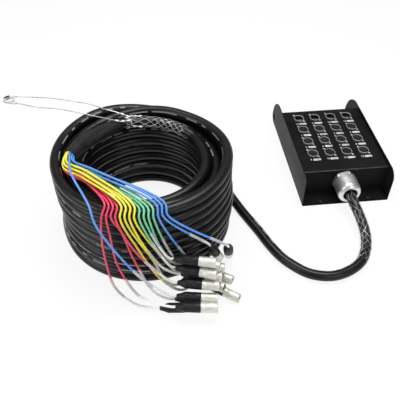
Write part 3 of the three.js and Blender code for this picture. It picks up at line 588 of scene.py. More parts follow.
# %% [markdown]
# ## The multicore cable
# The cable is one unbroken length. It leaves the gland, sinks to the floor, swings round in front of
# the coil and is then wound up the outer column of the coil, down the middle one and up the inner one.
# A physics simulation could coil it, but it would have to be steered for every loop, and a tidy coil is
# wound by rule anyway: a few angles say where in a turn the cable climbs a layer or moves a column.

# %% The winding's rule
CABLE, COIL = 20.5, np.array([-436.0, -146.0])
COIL_RADIUS, COLUMN_PITCH, LAYER_PITCH, INNER_PITCH = 165, 21.2, 21.4, 22.9
LOOPS, ENTRY = 24, 20
LEAN, LEAN_FROM, LEAN_OVER = 2.5, 16, 114
# In each: the two angles between which it happens, the first turn with it, and the number of turns.
COLUMN_MOVES = ((130, 200, 0, 1), (-10, 60, 9, 1), (200, 280, 16, 1))
LAYERS_UP = ((60, 130, 1, 8), (120, 200, 17, 7))
STEP_DOWN, LAYERS_DOWN = (60, 130, 9, 1), (280, 350, 9, 7)


def clamp(value):
    return min(max(value, 0), 1)


def ease(start, end, value):
    """Goes from 0 to 1, slowly at both ends, as the value goes from start to end."""
    t = clamp((value - start) / (end - start))
    return t * t * (3 - 2 * t)


def climbs(angle, start, end, first, count):
    """How many of count steps are done, one in each turn from the first, between two angles of it."""
    return sum(ease((first + i) * 360 + start, (first + i) * 360 + end, angle) for i in range(count))


def round_coil(angle, radius, z):
    a = math.radians(angle)
    return np.array([COIL[0] + radius * math.cos(a), COIL[1] + radius * math.sin(a), z])


def winding_point(angle):
    """A point of the winding. The angle counts on from turn to turn."""
    columns = sum(climbs(angle, *move) for move in COLUMN_MOVES)
    ups = sum(climbs(angle, *layer) for layer in LAYERS_UP)
    drop = climbs(angle, *STEP_DOWN) * (LAYER_PITCH * 8 - INNER_PITCH * 7)
    drop += climbs(angle, *LAYERS_DOWN) * INNER_PITCH
    z = CABLE / 2 + 0.1 + ups * LAYER_PITCH - drop
    lean = LEAN * (1 - math.cos(2 * math.pi * clamp((z - LEAN_FROM) / LEAN_OVER)))
    return round_coil(angle, COIL_RADIUS + COLUMN_PITCH * (1 - columns), z) + [lean, 0, 0]


def heading_at(angle):
    return np.array([-math.sin(math.radians(angle)), math.cos(math.radians(angle)), 0])


print("the coil is", round(2 * (COIL_RADIUS + COLUMN_PITCH) + CABLE), "mm across")

# %% [markdown]
# The route joins the run from the gland, the winding and the cable's far end, which lies on top of the
# coil. The run and the end are points read off the drawing: straight out of the gland, down to the floor
# in one long bend, and round to where the first loop starts. The end's points are angles round the coil,
# distances from its axis and heights.

# %% The cable's route
FRONT_Y, GLAND_Z = -112.5, 40
RUN = [(0, -155.5, 40), (0, -168, 39.8), (0, -181, 38.5), (3, -201, 34), (6, -225, 27), (7, -248, 20.5),
       (4, -270, 15), (-4, -293, 12.6), (-23, -322, 12.25), (-51, -340, 10.4), (-83, -349, 10.35),
       (-109, -347, 10.35), (-134, -337, 10.35), (-157, -317, 10.35), (-176, -293, 10.35),
       (-193, -259, 10.35), (-209, -217, 10.35), (-222, -186, 10.35)]
END = [(40, 124, 162.6), (55, 121, 164.4), (70, 119.3, 166.8), (85, 118.5, 168.8), (100, 118.5, 170.2),
       (115, 118.5, 172.4), (130, 116, 177), (145, 113, 183), (159, 114, 188), (170, 120, 191.8),
       (178.5, 127, 193.5)]

last = LOOPS * 360 + ENTRY
wound = [winding_point(ENTRY + 15 * i) for i in range(LOOPS * 24 + 1)]
lead_in = [wound[0] - back * heading_at(ENTRY) for back in (80.8, 60)]
lead_out = wound[-1] + (CABLE + 8) * heading_at(last)
end_points = [round_coil(*place) for place in END]
in_gland = (0, FRONT_Y + 12, GLAND_Z)
cable_line = Line([in_gland, *RUN, *lead_in, *wound, lead_out, *end_points], 9)

cable = Gathered()
lay_tube(cable, cable_line, cable_line.stations(CABLE / 2), 18)
multicore = cable.make("multicore_cable", [jacket], ("cable_run", "cable_coil", "cable_end"))
print(f"the cable is {cable_line.length / 1000:.2f} m long")

# %% [markdown]
# ## The plugs' places
# The leads run from the cable's end to the plugs, so the plugs are placed first. Each lies on the floor
# or on its neighbours. They could be dropped there by a rigid body simulation, but then no plug would
# lie where the photograph has it. The table gives where each one's rear end lies, in plug diameters from
# a point in the pile, its level, its heading and how far its nose points down.

# %% Plug places
PLUG, PLUG_LEVEL, PILE = 19, 19.3, (-340, -350)
PLUG_PLACES = {
    "red_1": (-4.4, -1.94, 0, -5, 0), "red_2": (-2.91, -2.68, 1, -8, 0),
    "red_3": (-2.88, -1.02, 0, -4, 0), "red_4": (-2.54, -0.64, 2, -12, 0),
    "yellow_1": (0.17, 0.72, 0, -37, 0), "yellow_2": (-2.24, 0.79, 0, 25, 0),
    "yellow_3": (-2.12, 0.41, 2, -12, 0), "yellow_4": (-1.4, 1.18, 1, -33, 0),
    "green_1": (-2.6, 0.42, 3.03, -20, 0), "green_2": (-2.72, 0.65, 4.05, -14, 0),
    "green_3": (-1.7, 1.46, 2, -12, 0), "green_4": (-2.12, 1.42, 3.03, -20, 0),
    "blue_1": (-2.73, -1.47, 1, -10, 0), "blue_2": (-0.46, 2.0, 1, -33, 0),
    "blue_3": (0.9, 2.16, 3.75, 48, 63), "blue_4": (2.68, 2.0, 3.54, 76, 60),
}


def plug_place(name):
    along, across, level_up, heading, pitch = PLUG_PLACES[name]
    rear = np.array([PILE[0] + along * PLUG, PILE[1] + across * PLUG,
                     PLUG / 2 + 0.1 + level_up * PLUG_LEVEL])
    h, p = math.radians(heading), math.radians(pitch)
    return rear, np.array([math.cos(p) * math.cos(h), math.cos(p) * math.sin(h), -math.sin(p)])


print("plugs on the floor:", sum(place[2] == 0 for place in PLUG_PLACES.values()))

# %% [markdown]
# ## The leads' routes
# Sixteen leads leave the boot in a bundle, fan out over the coil's rim and hang down to their plugs.
# A simulation of ropes would let them fall, but nobody could say where. Here each follows points of its
# own. In the bundle each has a slot, three on an outer circle and one on an inner one for each
# colour, so that none passes through another. The inner one is the table's None. One blue lead leaves
# the fan and crosses over it.

# %% Lead routes
LEAD, OUTER_CIRCLE, INNER_CIRCLE = 3.8, 17, 7.4
QUARTERS = {"red": 225, "yellow": 135, "green": 315, "blue": 45}
SLOTS = {"red": (-30, 0, None, 30), "yellow": (30, 0, None, -30), "green": (-30, None, 0, 30),
         "blue": (30, None, 0, -30)}
BUNDLE = [np.array([-569, -190, 197.0]), np.array([-529, -229, 202.5])]
SPREADS = (1, 1, 1.4, 1.6)
CROSSING_LEAD, CROSSING_LIFT = "blue_1", 7
RIM_START, RIM_SPAN, RIM_RADIUS, OUTSIDE_RADIUS, OUTSIDE_Z = 246, 36, 166, 181, 186
RIM_Z = {"red": 196.5, "yellow": 200.5, "green": 196.5, "blue": 200.5}
LEAD_NAMES = [f"{kind}_{number}" for kind in LEAD_COLOURS for number in (1, 2, 3, 4)]
RIM_ORDER = [name for name in LEAD_NAMES if name != CROSSING_LEAD]
LEAD_ROUTES = {
    "red_1": [(-513, -322, 165), (-514, -331, 90), (-502, -347, 25), (-468, -372, 7)],
    "red_2": [(-500, -324, 150), (-492, -335, 70), (-458, -374, 32)],
    "red_3": [(-480, -324, 155), (-464, -333, 90), (-432, -358, 20)],
    "red_4": [(-467, -338, 135), (-440, -350, 95)],
    "yellow_1": [(-455, -334, 120), (-416, -347, 40), (-380, -351, 10)],
    "yellow_2": [(-428, -335, 80), (-408, -338, 25)], "yellow_3": [(-415, -338, 68)],
    "yellow_4": [(-400, -329, 58), (-388, -330, 40)], "green_3": [(-402, -323, 70)],
    "blue_1": [(-563, -224, 213), (-530, -300, 200), (-520, -328, 178), (-452, -364, 72)],
    "blue_2": [(-372, -313, 68)],
}
tip = end_points[-1]
mouth_heading = (tip - end_points[-2]) / np.linalg.norm(tip - end_points[-2])
mouth = tip + 17 * mouth_heading


def lead_points(name):
    kind, number = name.split("_")
    slot = SLOTS[kind][int(number) - 1]
    radius = (INNER_CIRCLE if slot is None else OUTER_CIRCLE) / 2
    angle = math.radians(QUARTERS[kind] + (slot or 0))
    across, up = radius * math.cos(angle), radius * math.sin(angle)
    crossing = name == CROSSING_LEAD
    centres = [tip + (4.6 if crossing else 0.3) * mouth_heading, mouth, *BUNDLE]
    if crossing:
        centres.pop()
    points = []
    for i, (centre, spread) in enumerate(zip(centres, SPREADS)):
        ahead_of = centres[min(i + 1, len(centres) - 1)]
        heading = (ahead_of - centres[i - 1]) if i > 1 else mouth_heading
        heading = heading / np.linalg.norm(heading)
        side = np.array([-heading[1], heading[0], 0]) / np.linalg.norm(heading[:2])
        points.append(centre + side * across * spread + np.cross(heading, side) * up * spread)
    if crossing:
        points[-1][2] += CROSSING_LIFT
    else:
        rim_angle = RIM_START + RIM_SPAN * RIM_ORDER.index(name) / (len(RIM_ORDER) - 1)
        points.append(round_coil(rim_angle, RIM_RADIUS, RIM_Z[kind]))
        points.append(round_coil(rim_angle, OUTSIDE_RADIUS, OUTSIDE_Z))
    points += [np.array(p, float) for p in LEAD_ROUTES.get(name, [])]
    rear, nose = plug_place(name)
    return [*points, rear - 9 * nose, rear - 0.3 * nose, rear + 5 * nose]


lead_lines = {name: Line(lead_points(name), 3) for name in LEAD_NAMES}
lengths = [round(line.length) for line in lead_lines.values()]
print("the leads are", min(lengths), "to", max(lengths), "mm long")

# %% [markdown]
# Each lead is a tube of its own, so that each can be moved and named. One curve object with sixteen
# splines would be lighter, but the whole fan would be one piece, which moves and is named as one.

# %% Leads
for name, line in lead_lines.items():
    kind = name.split("_")[0]
    lead = Gathered()
    lay_tube(lead, line, line.stations(LEAD / 2, 3), 14)
    nodes = ["lead_blue_1"] if name == CROSSING_LEAD else ["leads_" + kind]
    lead.make("lead_cord_" + name, [lead_finishes[kind]], nodes)

# %% [markdown]
# ## The sleeves
# A clear shrink sleeve grips the last of the coloured jacket, and a white sleeve carries on to the plug.
# They are short tubes with a wall, laid along the same line as the lead a little further out. Copies of
# the lead's own faces pushed outward would do, but they would have no wall at the ends. The table gives
# the length of the white and of the clear part on each lead.

# %% Sleeves
SLEEVES = {"red_1": (75, 46), "red_2": (74, 36), "red_3": (60, 38), "red_4": (45, 35),
           "yellow_1": (60, 35), "yellow_2": (50, 35), "yellow_3": (56, 35), "yellow_4": (56, 35),
           "green_1": (45, 35), "green_2": (50, 32), "green_3": (50, 35), "green_4": (42, 35),
           "blue_1": (54, 46), "blue_2": (45, 40), "blue_3": (30, 35), "blue_4": (18, 40)}
WHITE_WALL, CLEAR_WALL = (LEAD / 2 + 0.02, 2.35), (2.37, 2.75)
IN_PLUG, OVERLAP = 5.6, 4


def sleeve(name, line, start, end, wall, material):
    """wall is the sleeve's inner and outer radius."""
    inner, outer = wall
    places = np.linspace(start, end, max(3, int((end - start) / 3)))
    stations = [(start, inner), (start, outer - 0.15), (start + 0.3, outer)]
    stations += [(s, outer) for s in places[1:-1]]
    stations += [(end - 0.3, outer), (end, outer - 0.15), (end, inner)]
    stations += [(s, inner) for s in places[::-1][1:-1]]
    made = Gathered()
    lay_tube(made, line, stations, 16, loop=True)
    return made.make(name, [material])


for name, line in lead_lines.items():
    white, clear = SLEEVES[name]
    end = line.length - IN_PLUG
    middle = end - white
    sleeve("white_sleeve_" + name, line, middle, end, WHITE_WALL, white_sleeve)
    sleeve("clear_sleeve_" + name, line, middle - clear, middle + OVERLAP, CLEAR_WALL, clear_sleeve)

# %% [markdown]
# ## The plugs
# A plug is a black moulded rear body with a cone where the lead goes in, and a nickel shell. Twelve
# have a hollow shell with three pins for the sockets of the sound desk. Four have an insert with three
# holes. Both kinds are turned profiles; the pins and holes are added to them. All sixteen objects share
# the two meshes, placed by their own matrices.

# %% Plug profiles
NOSE_FROM, INSERT_FROM, PLUG_TIP, CONTACT_CIRCLE = 45, 58, 76, 3.8
plug_finishes = [plug_black, shell_nickel, contact_brass]
MOULDED, SHELL, CONTACT = range(len(plug_finishes))


def contact_places(angles):
    turns = np.radians(angles)
    return [(CONTACT_CIRCLE * math.cos(t), CONTACT_CIRCLE * math.sin(t)) for t in turns]


def plug_body(gathered):
    rear = [(2.1, 8), (2.1, 0.6), (2.5, 0), (4.0, 0), (4.6, 0.5), (4.75, 2), (5.0, 2.3), (5.0, 3.4),
            (5.2, 3.7), (6.2, 7), (7.7, 11), (9.1, 14.6), (9.45, 16)]
    for groove in (20, 24, 28):
        rear += [(9.5, groove), (9.15, groove + 0.5), (9.15, groove + 1.3), (9.5, groove + 1.8)]
    rear += [(9.5, 43.6), (9.2, 44.6), (8.6, NOSE_FROM), (5.5, NOSE_FROM), (5.5, 8)]
    turned(gathered, rear, 40, MOULDED, closed=True)


def plug_nose(gathered, male):
    wall = [(8.6, NOSE_FROM), (9.1, 45.3), (9.2, 46), (9.2, 50.5), (9.0, 50.9), (9.0, 52), (9.2, 52.4),
            (9.2, 74.9), (8.9, 75.7), (8.5, PLUG_TIP)]
    bore, lip = (7.9, 8.1) if male else (8.15, 8.25)
    inside = [(lip, PLUG_TIP), (bore, 75.6 if male else 75.7), (bore, INSERT_FROM)]
    turned(gathered, [*wall, *inside, (5.5, INSERT_FROM), (5.5, NOSE_FROM)], 40, SHELL, closed=True)
    contacts = contact_places((90, 210, 330))
    if male:
        turned(gathered, [(0, 57), (7.85, 57), (7.85, 59), (7.4, 59.4), (0, 59.4)], 32, MOULDED)
        pin = [(0, 58), (1.2, 58), (1.2, 70.4), (0.9, 71.6), (0, 72)]
        for x, y in contacts:
            turned(gathered, pin, 16, CONTACT, (x, y, 0))
        return
    for x, y in contacts:
        turned(gathered, [(0, 67.6), (1.7, 67.6), (1.7, 68.2), (0, 68.2)], 14, CONTACT, (x, y, 0))
    holes = [[(circle(1.35, 14, x, y), z) for z in (68, 75)] for x, y in contacts]
    insert = [(circle(8.1, 32), INSERT_FROM), (circle(8.1, 32), 74.6), (circle(7.7, 32), 75)]
    plate(gathered, insert, holes, MOULDED)


# %% [markdown]
# Each of the two meshes is made once, round its own axis and from its rear end. The plugs' matrices
# place it later, so here its millimetres only become metres.

# %% Plug meshes
def plug_mesh(name, male):
    gathered = Gathered()
    plug_body(gathered)
    plug_nose(gathered, male)
    metres = np.array(gathered.points) / 1000
    return gathered.mesh(name, plug_finishes, metres, along=False)


pin_plug, hole_plug = plug_mesh("pin_plug", True), plug_mesh("hole_plug", False)

# %% [markdown]
# Each plug takes one of the two meshes. A rotation turns the mesh's own axis to the plug's heading, and
# a spin about that axis gives each plug's pins another angle, as in any heap. The last plug of each
# colour is one of the four with holes.

# %% Plugs in their places
SPIN_STEP = 37
for number, name in enumerate(LEAD_NAMES):
    rear, nose = plug_place(name)
    turn = Vector((0, 0, 1)).rotation_difference(Vector(nose)).to_matrix().to_4x4()
    spin = Matrix.Rotation(math.radians(SPIN_STEP * number), 4, "Z")
    plug = put_in_scene("inline_plug_" + name, hole_plug if name[-1] == "4" else pin_plug)
    plug.matrix_world = Matrix.Translation(row(rear)[0]) @ turn @ spin
    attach(plug, BODY)
    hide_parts("plug_" + name)

# %% [markdown]
# ## The breakout boot
# Two layers of shrink tube close the cable's end: a thin one that starts just past the pulling grip, and
# a thicker one over it that ends in the mouth the leads come out of. They could be two tubes, but their
# inner walls would never show. One sleeve with a radius that changes along the way shows the step
# between them, and a little noise in the radius shows the shrunk wrinkles.

# %% Breakout boot
end_line = Line([lead_out, *end_points, mouth], 2.5)
place_of = [end_line.nearest(point) for point in (lead_out, *end_points)]
boot_start, boot_step, boot_end = place_of[6] - 14, place_of[8] + 2, end_line.length
THIN_BOOT, THICKER_BY, LIP, FLARE, WRINKLE, WRINKLE_LENGTH = 10.9, 2.1, 0.5, 0.55, 0.2, 3.1
wrinkle = random.Random(4)


def boot_radius(s):
    base = THIN_BOOT + WRINKLE * math.sin(s / WRINKLE_LENGTH) * wrinkle.random()
    lip = LIP * ease(boot_step + 7, boot_step + 2, s)
    step = ease(boot_step, boot_step + 0.8, s)
    return base + (THICKER_BY + lip) * step + FLARE * ease(boot_step + 8, boot_end, s)


outside = [(s, boot_radius(s)) for s in np.arange(boot_start + 1, boot_end - 1, 1.6)]
stations = [(boot_start, 10.35), (boot_start, THIN_BOOT), *outside, (boot_end - 0.6, 13.75),
            (boot_end, 13.3), (boot_end, 11.6), (boot_end - 1.5, 11.15), (place_of[11] + 1, 11.1),
            (place_of[11], 10.35)]
boot = Gathered()
lay_tube(boot, end_line, stations, 36, loop=True)
boot_object = boot.make("breakout_boot_shrink", [boot_finish], ("breakout_boot",), sharp=50)

# %% [markdown]
# ## Woven wire grips
# A grip is a tube of woven wire that tightens when it is pulled. Two families of wires wind round the
# cable in opposite ways and pass over and under each other at every crossing. A displacement could fake
# that, but here each wire is a thin tube: its angle round the cable grows along the way, and its
# distance from the middle swings in and out once per crossing.

# %% The weaving rule
SWING, PAIR_GAP, SPLAYED_OVER = 0.75, 0.55, 9


def weave(gathered, line, start, end, diamonds, middle, wire, lengths, flare=0.0, seed=1):
    """lengths are the diamonds' lengths at the two ends. Each strand is a pair of wires side by side.
    flare says how far the strands splay at the far end."""
    chance = random.Random(seed)
    places = np.arange(start, end, 1.6)
    share = (places - start) / (end - start)
    diamond = lengths[0] + (lengths[1] - lengths[0]) * np.minimum(1, 2.2 * share)
    turn = np.concatenate([[0], np.cumsum(2 * math.pi / diamonds / diamond[:-1] * np.diff(places))])
    crossing = turn * diamonds / math.pi
    near_end = np.clip((places - (end - SPLAYED_OVER)) / SPLAYED_OVER, 0, 1) ** 2
    for way in (1, -1):
        for strand in range(diamonds):
            swing = SWING * wire * way * np.cos(math.pi * crossing) * (-1) ** strand
            for pair in (-1, 1):
                angle = 2 * math.pi * strand / diamonds + way * turn + pair * PAIR_GAP * wire / middle
                radius, kept = middle + swing, len(places)
                if flare:
                    kept -= chance.randrange(0, 6)
                    radius = radius + near_end * flare * chance.random()
                wire_line = Line(line.at(places, radius, angle)[:kept])
                lay_tube(gathered, wire_line, wire_line.stations(wire / 2), 5)


box_grip_end = cable_line.nearest(RUN[8])
box_grip = Gathered()
weave(box_grip, cable_line, 48, box_grip_end - 2, diamonds=6, middle=11.4, wire=0.3, lengths=(32, 17))
box_grip_object = box_grip.make("woven_grip_at_box", [steel_wire], ("box_grip_mesh",))

# %% [markdown]
# ## The pulling grip and its wire
# The grip on the far end is stretched: its diamonds are long where it is pulled and short at its loose
# end, which is splayed. The same weaving rule makes it, along the cable's end turned round, so that the
# loose end comes last.

# %% Pulling grip
pull_grip = Gathered()
grip_start, grip_end = place_of[1] + 1, place_of[5] + 4
reversed_line = Line(end_line.points[::-1])
mouth_side, loose_side = end_line.length - grip_end, end_line.length - grip_start
GRIP_RADIUS = 11.3
weave(pull_grip, reversed_line, mouth_side, loose_side, diamonds=6, middle=GRIP_RADIUS, wire=0.36,
      lengths=(42, 15), flare=3.0, seed=5)

# %% [markdown]
# The grip's wires gather in two small bundles. Each wire is a short smooth line from its place on the
# grip to one of two points beside it, whichever lies on its side. From these points two thicker strands
# run back over the weave, each with three crimped ferrules, as a hand would bind them.

# %% Gathered wires and strands
GATHERED_AT = [np.array([-458.2, -26, 181.6]), np.array([-456.2, -36.4, 180])]
GATHERED_WIRES, STRAND_RADIUS = 16, 0.75
for number in range(GATHERED_WIRES):
    angle = 2 * math.pi * (number + 0.5) / GATHERED_WIRES
    goal = GATHERED_AT[0] if math.cos(angle) > 0 else GATHERED_AT[1]
    begin = reversed_line.at(mouth_side, GRIP_RADIUS, angle)[0]
    onward = reversed_line.at(mouth_side - 7, GRIP_RADIUS + 0.7, angle)[0]
    near_goal = goal + (begin - goal) * 0.25 + np.array([0, 0, 0.5])
    gather_line = Line([begin, onward, near_goal, goal], 2)
    lay_tube(pull_grip, gather_line, gather_line.stations(0.3, 2), 5)

for goal, turns in zip(GATHERED_AT, ((1.9, 1.75, 1.6), (-0.15, -0.45, -0.6))):
    on_cable = [reversed_line.at(mouth_side + s, GRIP_RADIUS + 1, turn)[0]
                for s, turn in zip((6, 16, 27), turns)]
    strand_line = Line([goal, *on_cable], 2)
    lay_tube(pull_grip, strand_line, strand_line.stations(STRAND_RADIUS, 2), 8)
    for place in (3, strand_line.length * 0.5, strand_line.length - 2):
        ferrule = [(place - 2.5, 0.8), (place - 2.5, 1.8), (place + 2, 1.8), (place + 2, 0.8)]
        lay_tube(pull_grip, strand_line, ferrule, 12, loop=True)
print("bundles gathered:", len(GATHERED_AT))

# %% [markdown]
# A steel rope runs from the bundles out to an eye and back. Steel rope is laid of six strands round a
# seventh, and that is how it is made here: each outer strand winds once round the middle in sixteen
# millimetres. A bump texture could draw the strands, but their outline would stay smooth.

# %% Pulling rope
WIRE, LAY, STRANDS, EYE, EYE_RADIUS = 2.4, 16, 6, np.array([-706, 34, 200.0]), 12
WIRE_OUT = [(-458.2, -26, 181.6), (-470, -21.5, 184.5), (-481, -18.5, 188), (-504, -11.5, 193),
            (-531, 1, 196.5), (-560, 12.5, 198.5), (-589, 22, 200), (-633, 34.5, 200), (-694, 46, 200)]
WIRE_BACK = [(-695, 22, 200), (-651, 4, 200), (-590, -13.5, 199.5), (-537, -33, 196.5),
             (-507, -41.5, 193), (-493, -45, 190.5), (-478, -45.5, 186), (-456.2, -36.4, 180)]
bend = [EYE + EYE_RADIUS * np.array([math.cos(math.radians(a)), math.sin(math.radians(a)), 0])
        for a in (90, 112, 135, 158, 180, 202, 225, 248, 270)]
wire_line = Line([*WIRE_OUT, *bend, *WIRE_BACK], 2.5)

rope = Gathered()
for strand in range(STRANDS):
    turns = 2 * math.pi * (wire_line.along / LAY + strand / STRANDS)
    strand_line = Line(wire_line.at(wire_line.along, 0.78, turns))
    lay_tube(rope, strand_line, strand_line.stations(0.41), 6)
lay_tube(rope, wire_line, wire_line.stations(0.4), 6)
rope_object = rope.make("pulling_rope", [steel_wire], ("pull_wire",))

# %% [markdown]
# Crimped ferrules clamp the rope to the bundles. They belong to the grip, so the grip becomes a piece
# only now, with everything that was gathered for it.

# %% Rope ferrules
for place in (3, 16, wire_line.length - 3, wire_line.length - 17, wire_line.length - 30):
    crimp = [(place - 3.5, 1.3), (place - 3.5, 1.9), (place - 3, 2.1), (place + 3, 2.1),
             (place + 3.5, 1.9), (place + 3.5, 1.3)]
    held = [(min(max(s, 0), wire_line.length), radius) for s, radius in crimp]
    lay_tube(pull_grip, wire_line, held, 14, loop=True)
pull_grip_object = pull_grip.make("woven_pulling_grip", [bright_wire], ("pull_grip_mesh",))

# %% [markdown]
# A pale liner keeps the rope's eye open: a ring with a hollow rim, so it is turned like a pulley. Two
# clear sleeves and a black bead cover the rope beside it, made by the same rule as the leads' sleeves.

# %% Eye liner and rope sleeves
eye = Gathered()
turned(eye, [(7.5, -2.5), (10.2, -2.5), (10.5, -2.1), (9.95, -0.8), (9.8, 0), (9.95, 0.8), (10.5, 2.1),
             (10.2, 2.5), (7.5, 2.5), (7.2, 2.1), (7.2, -2.1)], 40, place=EYE, closed=True)
eye_object = eye.make("eye_liner", [liner], ("pull_eye",))
eye_out, eye_back = wire_line.nearest(bend[0]), wire_line.nearest(bend[-1])
rope_sleeves = [
    sleeve("rope_sleeve_out", wire_line, eye_out - 12, eye_out + 1, (1.4, 3.0), clear_sleeve),
    sleeve("rope_sleeve_back", wire_line, eye_back + 2, eye_back + 15, (1.4, 3.0), clear_sleeve),
    sleeve("eye_bead", wire_line, eye_out + 2, eye_out + 12, (1.4, 4.0), seal_rubber),
]

# %% [markdown]
# ## The free cords
# Blender's objects don't know that they are flexible. This cell only prints the number of free
# cords: the sixteen leads and two more.

print("cords declared:", 2 + len(lead_lines))

# %% [markdown]
# ## Folded sheet metal
# The box is two folded sheets. A sheet could be modelled as a solid with thickness, but it is simpler to
# draw only its outer skin, with the bends as narrow strips and the holes cut out of the flat parts, and
# let a Solidify modifier give it its thickness inward. A Bevel modifier then rounds the cut edges.

# %% Skins of folded sheets
SHEET, DEBURRED, BEND_STEPS = 1.6, 0.3, 6


def skin(name, flats, material, nodes):
    """flats are lists of loops in space, the first the outline and the others its holes."""
    made = bmesh.new()
    for loops in flats:
        loops = [[Vector(p) for p in loop] for loop in loops]
        corners = [made.verts.new(row(p)[0]) for loop in loops for p in loop]
        for face in tessellate_polygon(loops):
            made.faces.new([corners[i] for i in face])
    bmesh.ops.remove_doubles(made, verts=made.verts, dist=2e-6)
    bmesh.ops.recalc_face_normals(made, faces=made.faces)
    mesh = bpy.data.meshes.new(name)
    made.to_mesh(mesh)
    made.free()
    mesh.materials.append(material)
    piece = put_in_scene(name, mesh)
    thick = piece.modifiers.new("sheet thickness", "SOLIDIFY")
    thick.thickness, thick.offset, thick.use_even_offset = SHEET / 1000, -1, True
    rounding = piece.modifiers.new("deburred edges", "BEVEL")
    rounding.width, rounding.segments, rounding.limit_method = DEBURRED / 1000, 2, "ANGLE"
    rounding.angle_limit, rounding.harden_normals = math.radians(50), True
    mesh.shade_smooth()
    mesh.set_sharp_from_angle(angle=math.radians(30))
    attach(piece, BODY)
    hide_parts(*nodes)
    print(f"{name}: {len(mesh.polygons)} faces in its skin")
    return piece


def bend_points(centre_a, centre_b, radius, first, last, steps=BEND_STEPS):
    """Points of a bend in a section, round (a, b)."""
    angles = np.radians(np.linspace(first, last, steps + 1))
    return [(centre_a + radius * math.cos(t), centre_b + radius * math.sin(t)) for t in angles]


# %% [markdown]
# The chassis is the base with both cheeks folded up from it. A cheek's outline has a round front corner
# and a large round ear at the rear, with a hole to carry or hang the box by. Arcs and straight lines
# drawn in code keep the ear truly round, which a hand-drawn outline would not be.

# %% Chassis
HALF_W, LIP_FRONT, LIP_REAR, EAR_REAR, CHEEK, BEND = 97.5, -146.5, 166.5, 179.5, 77.5, 3.0
EAR_LOW, EAR_RADIUS, CORNER_RADIUS = 15.5, 62, 22
HOLE_Y, HOLE_Z, HOLE_RADIUS, SCREW_HOLE = 161.5, 20.5, 9.25, 2.1
FOOT_SCREWS = [(x, y) for x in (-54.5, 54.5) for y in (-139, 139)]


def cheek_outline():
    low = LIP_REAR + (EAR_REAR - LIP_REAR) * BEND / EAR_LOW
    outline = [(LIP_FRONT, BEND), (LIP_REAR, BEND), (low, BEND), (EAR_REAR, EAR_LOW)]
    outline += bend_points(EAR_REAR - EAR_RADIUS, EAR_LOW, EAR_RADIUS, 0, 90, 28)[1:]
    outline += bend_points(LIP_FRONT + CORNER_RADIUS, CHEEK - CORNER_RADIUS, CORNER_RADIUS, 90, 180, 14)
    hole = bend_points(HOLE_Y, HOLE_Z, HOLE_RADIUS, 0, 360, 40)[:-1]
    return outline, hole


def sheet_strip(x0, x1, start, end):
    """The corners of a strip from x0 to x1, between two (y, z) places of a section."""
    (ya, za), (yb, zb) = start, end
    return [(x0, ya, za), (x1, ya, za), (x1, yb, zb), (x0, yb, zb)]


def screw_holes(screws, z):
    return [[(x, y, z) for x, y in circle(SCREW_HOLE, 16, *screw)] for screw in screws]


flats = []
outline, hole = cheek_outline()
for x in (-HALF_W, HALF_W):
    flats.append([[(x, y, z) for y, z in outline], [(x, y, z) for y, z in hole]])
bend_section = bend_points(-HALF_W + BEND, BEND, BEND, 180, 270)
for mirror in (1, -1):
    for (xa, za), (xb, zb) in zip(bend_section, bend_section[1:]):
        flats.append([[(mirror * xa, LIP_FRONT, za), (mirror * xa, LIP_REAR, za),
                       (mirror * xb, LIP_REAR, zb), (mirror * xb, LIP_FRONT, zb)]])
inner = HALF_W - BEND
flats.append([sheet_strip(-inner, inner, (LIP_FRONT, 0), (LIP_REAR, 0)), *screw_holes(FOOT_SCREWS, 0)])
skin("folded_chassis", flats, powder_coat, ["chassis"])

# %% [markdown]
# The cover is one sheet folded like a hat: a flange in front, the front wall, the panel with the socket
# holes, the rear wall and a flange behind. Its section is drawn once and drawn again mirrored, so both
# walls have the same bends. Only the front one has a hole, for the gland.

# %% Cover
HALF_D, PANEL_Z, FLANGE_Z, FLANGE_Y, COVER_X = -FRONT_Y, 69, 3.5, 144.5, 95.6
FOLD, FLANGE_FOLD, GLAND_HOLE, SOCKET_HOLE = 3.2, 1.2, 17.3, 12.2
PITCH_X, PITCH_Y, GRID_Y = 39, 44.3, 14
SOCKETS = [[((c - 1.5) * PITCH_X, GRID_Y + (1.5 - r) * PITCH_Y) for c in range(4)] for r in range(4)]
SEND_PLACES = [place for line in SOCKETS[1:] for place in line]


def keyhole(x, y):
    """The hole for a send socket and its tab's slot, as one loop."""
    half, top = 3.5, 15.2
    first = math.degrees(math.acos(half / SOCKET_HOLE))
    arc = bend_points(x, y, SOCKET_HOLE, 180 - first, 360 + first, 30)
    return [*arc, (x + half, y + top), (x - half, y + top)]


panel_holes = [circle(SOCKET_HOLE, 32, *place) for place in SOCKETS[0]]
panel_holes += [keyhole(*place) for place in SEND_PLACES]
edge_y = HALF_D - FOLD
flats = [[sheet_strip(-COVER_X, COVER_X, (-edge_y, PANEL_Z), (edge_y, PANEL_Z)),
          *[[(x, y, PANEL_Z) for x, y in loop] for loop in panel_holes]]]
for way in (-1, 1):
    flange_y, flange_z = HALF_D + FLANGE_FOLD, FLANGE_Z + FLANGE_FOLD
    section = bend_points(edge_y, PANEL_Z - FOLD, FOLD, 90, 0)
    section += bend_points(flange_y, flange_z, FLANGE_FOLD, 180, 270, 3)
    section = [(way * y, z) for y, z in section]
    for i, (start, end) in enumerate(zip(section, section[1:])):
        wall = [sheet_strip(-COVER_X, COVER_X, start, end)]
        if i == BEND_STEPS and way == -1:
            wall.append([(x, FRONT_Y, z + GLAND_Z) for x, z in circle(GLAND_HOLE, 32)])
        flats.append(wall)
    screws = [screw for screw in FOOT_SCREWS if screw[1] * way > 0]
    flats.append([sheet_strip(-COVER_X, COVER_X, (way * flange_y, FLANGE_Z), (way * FLANGE_Y, FLANGE_Z)),
                  *screw_holes(screws, FLANGE_Z)])
skin("folded_cover", flats, powder_coat, ["cover"])

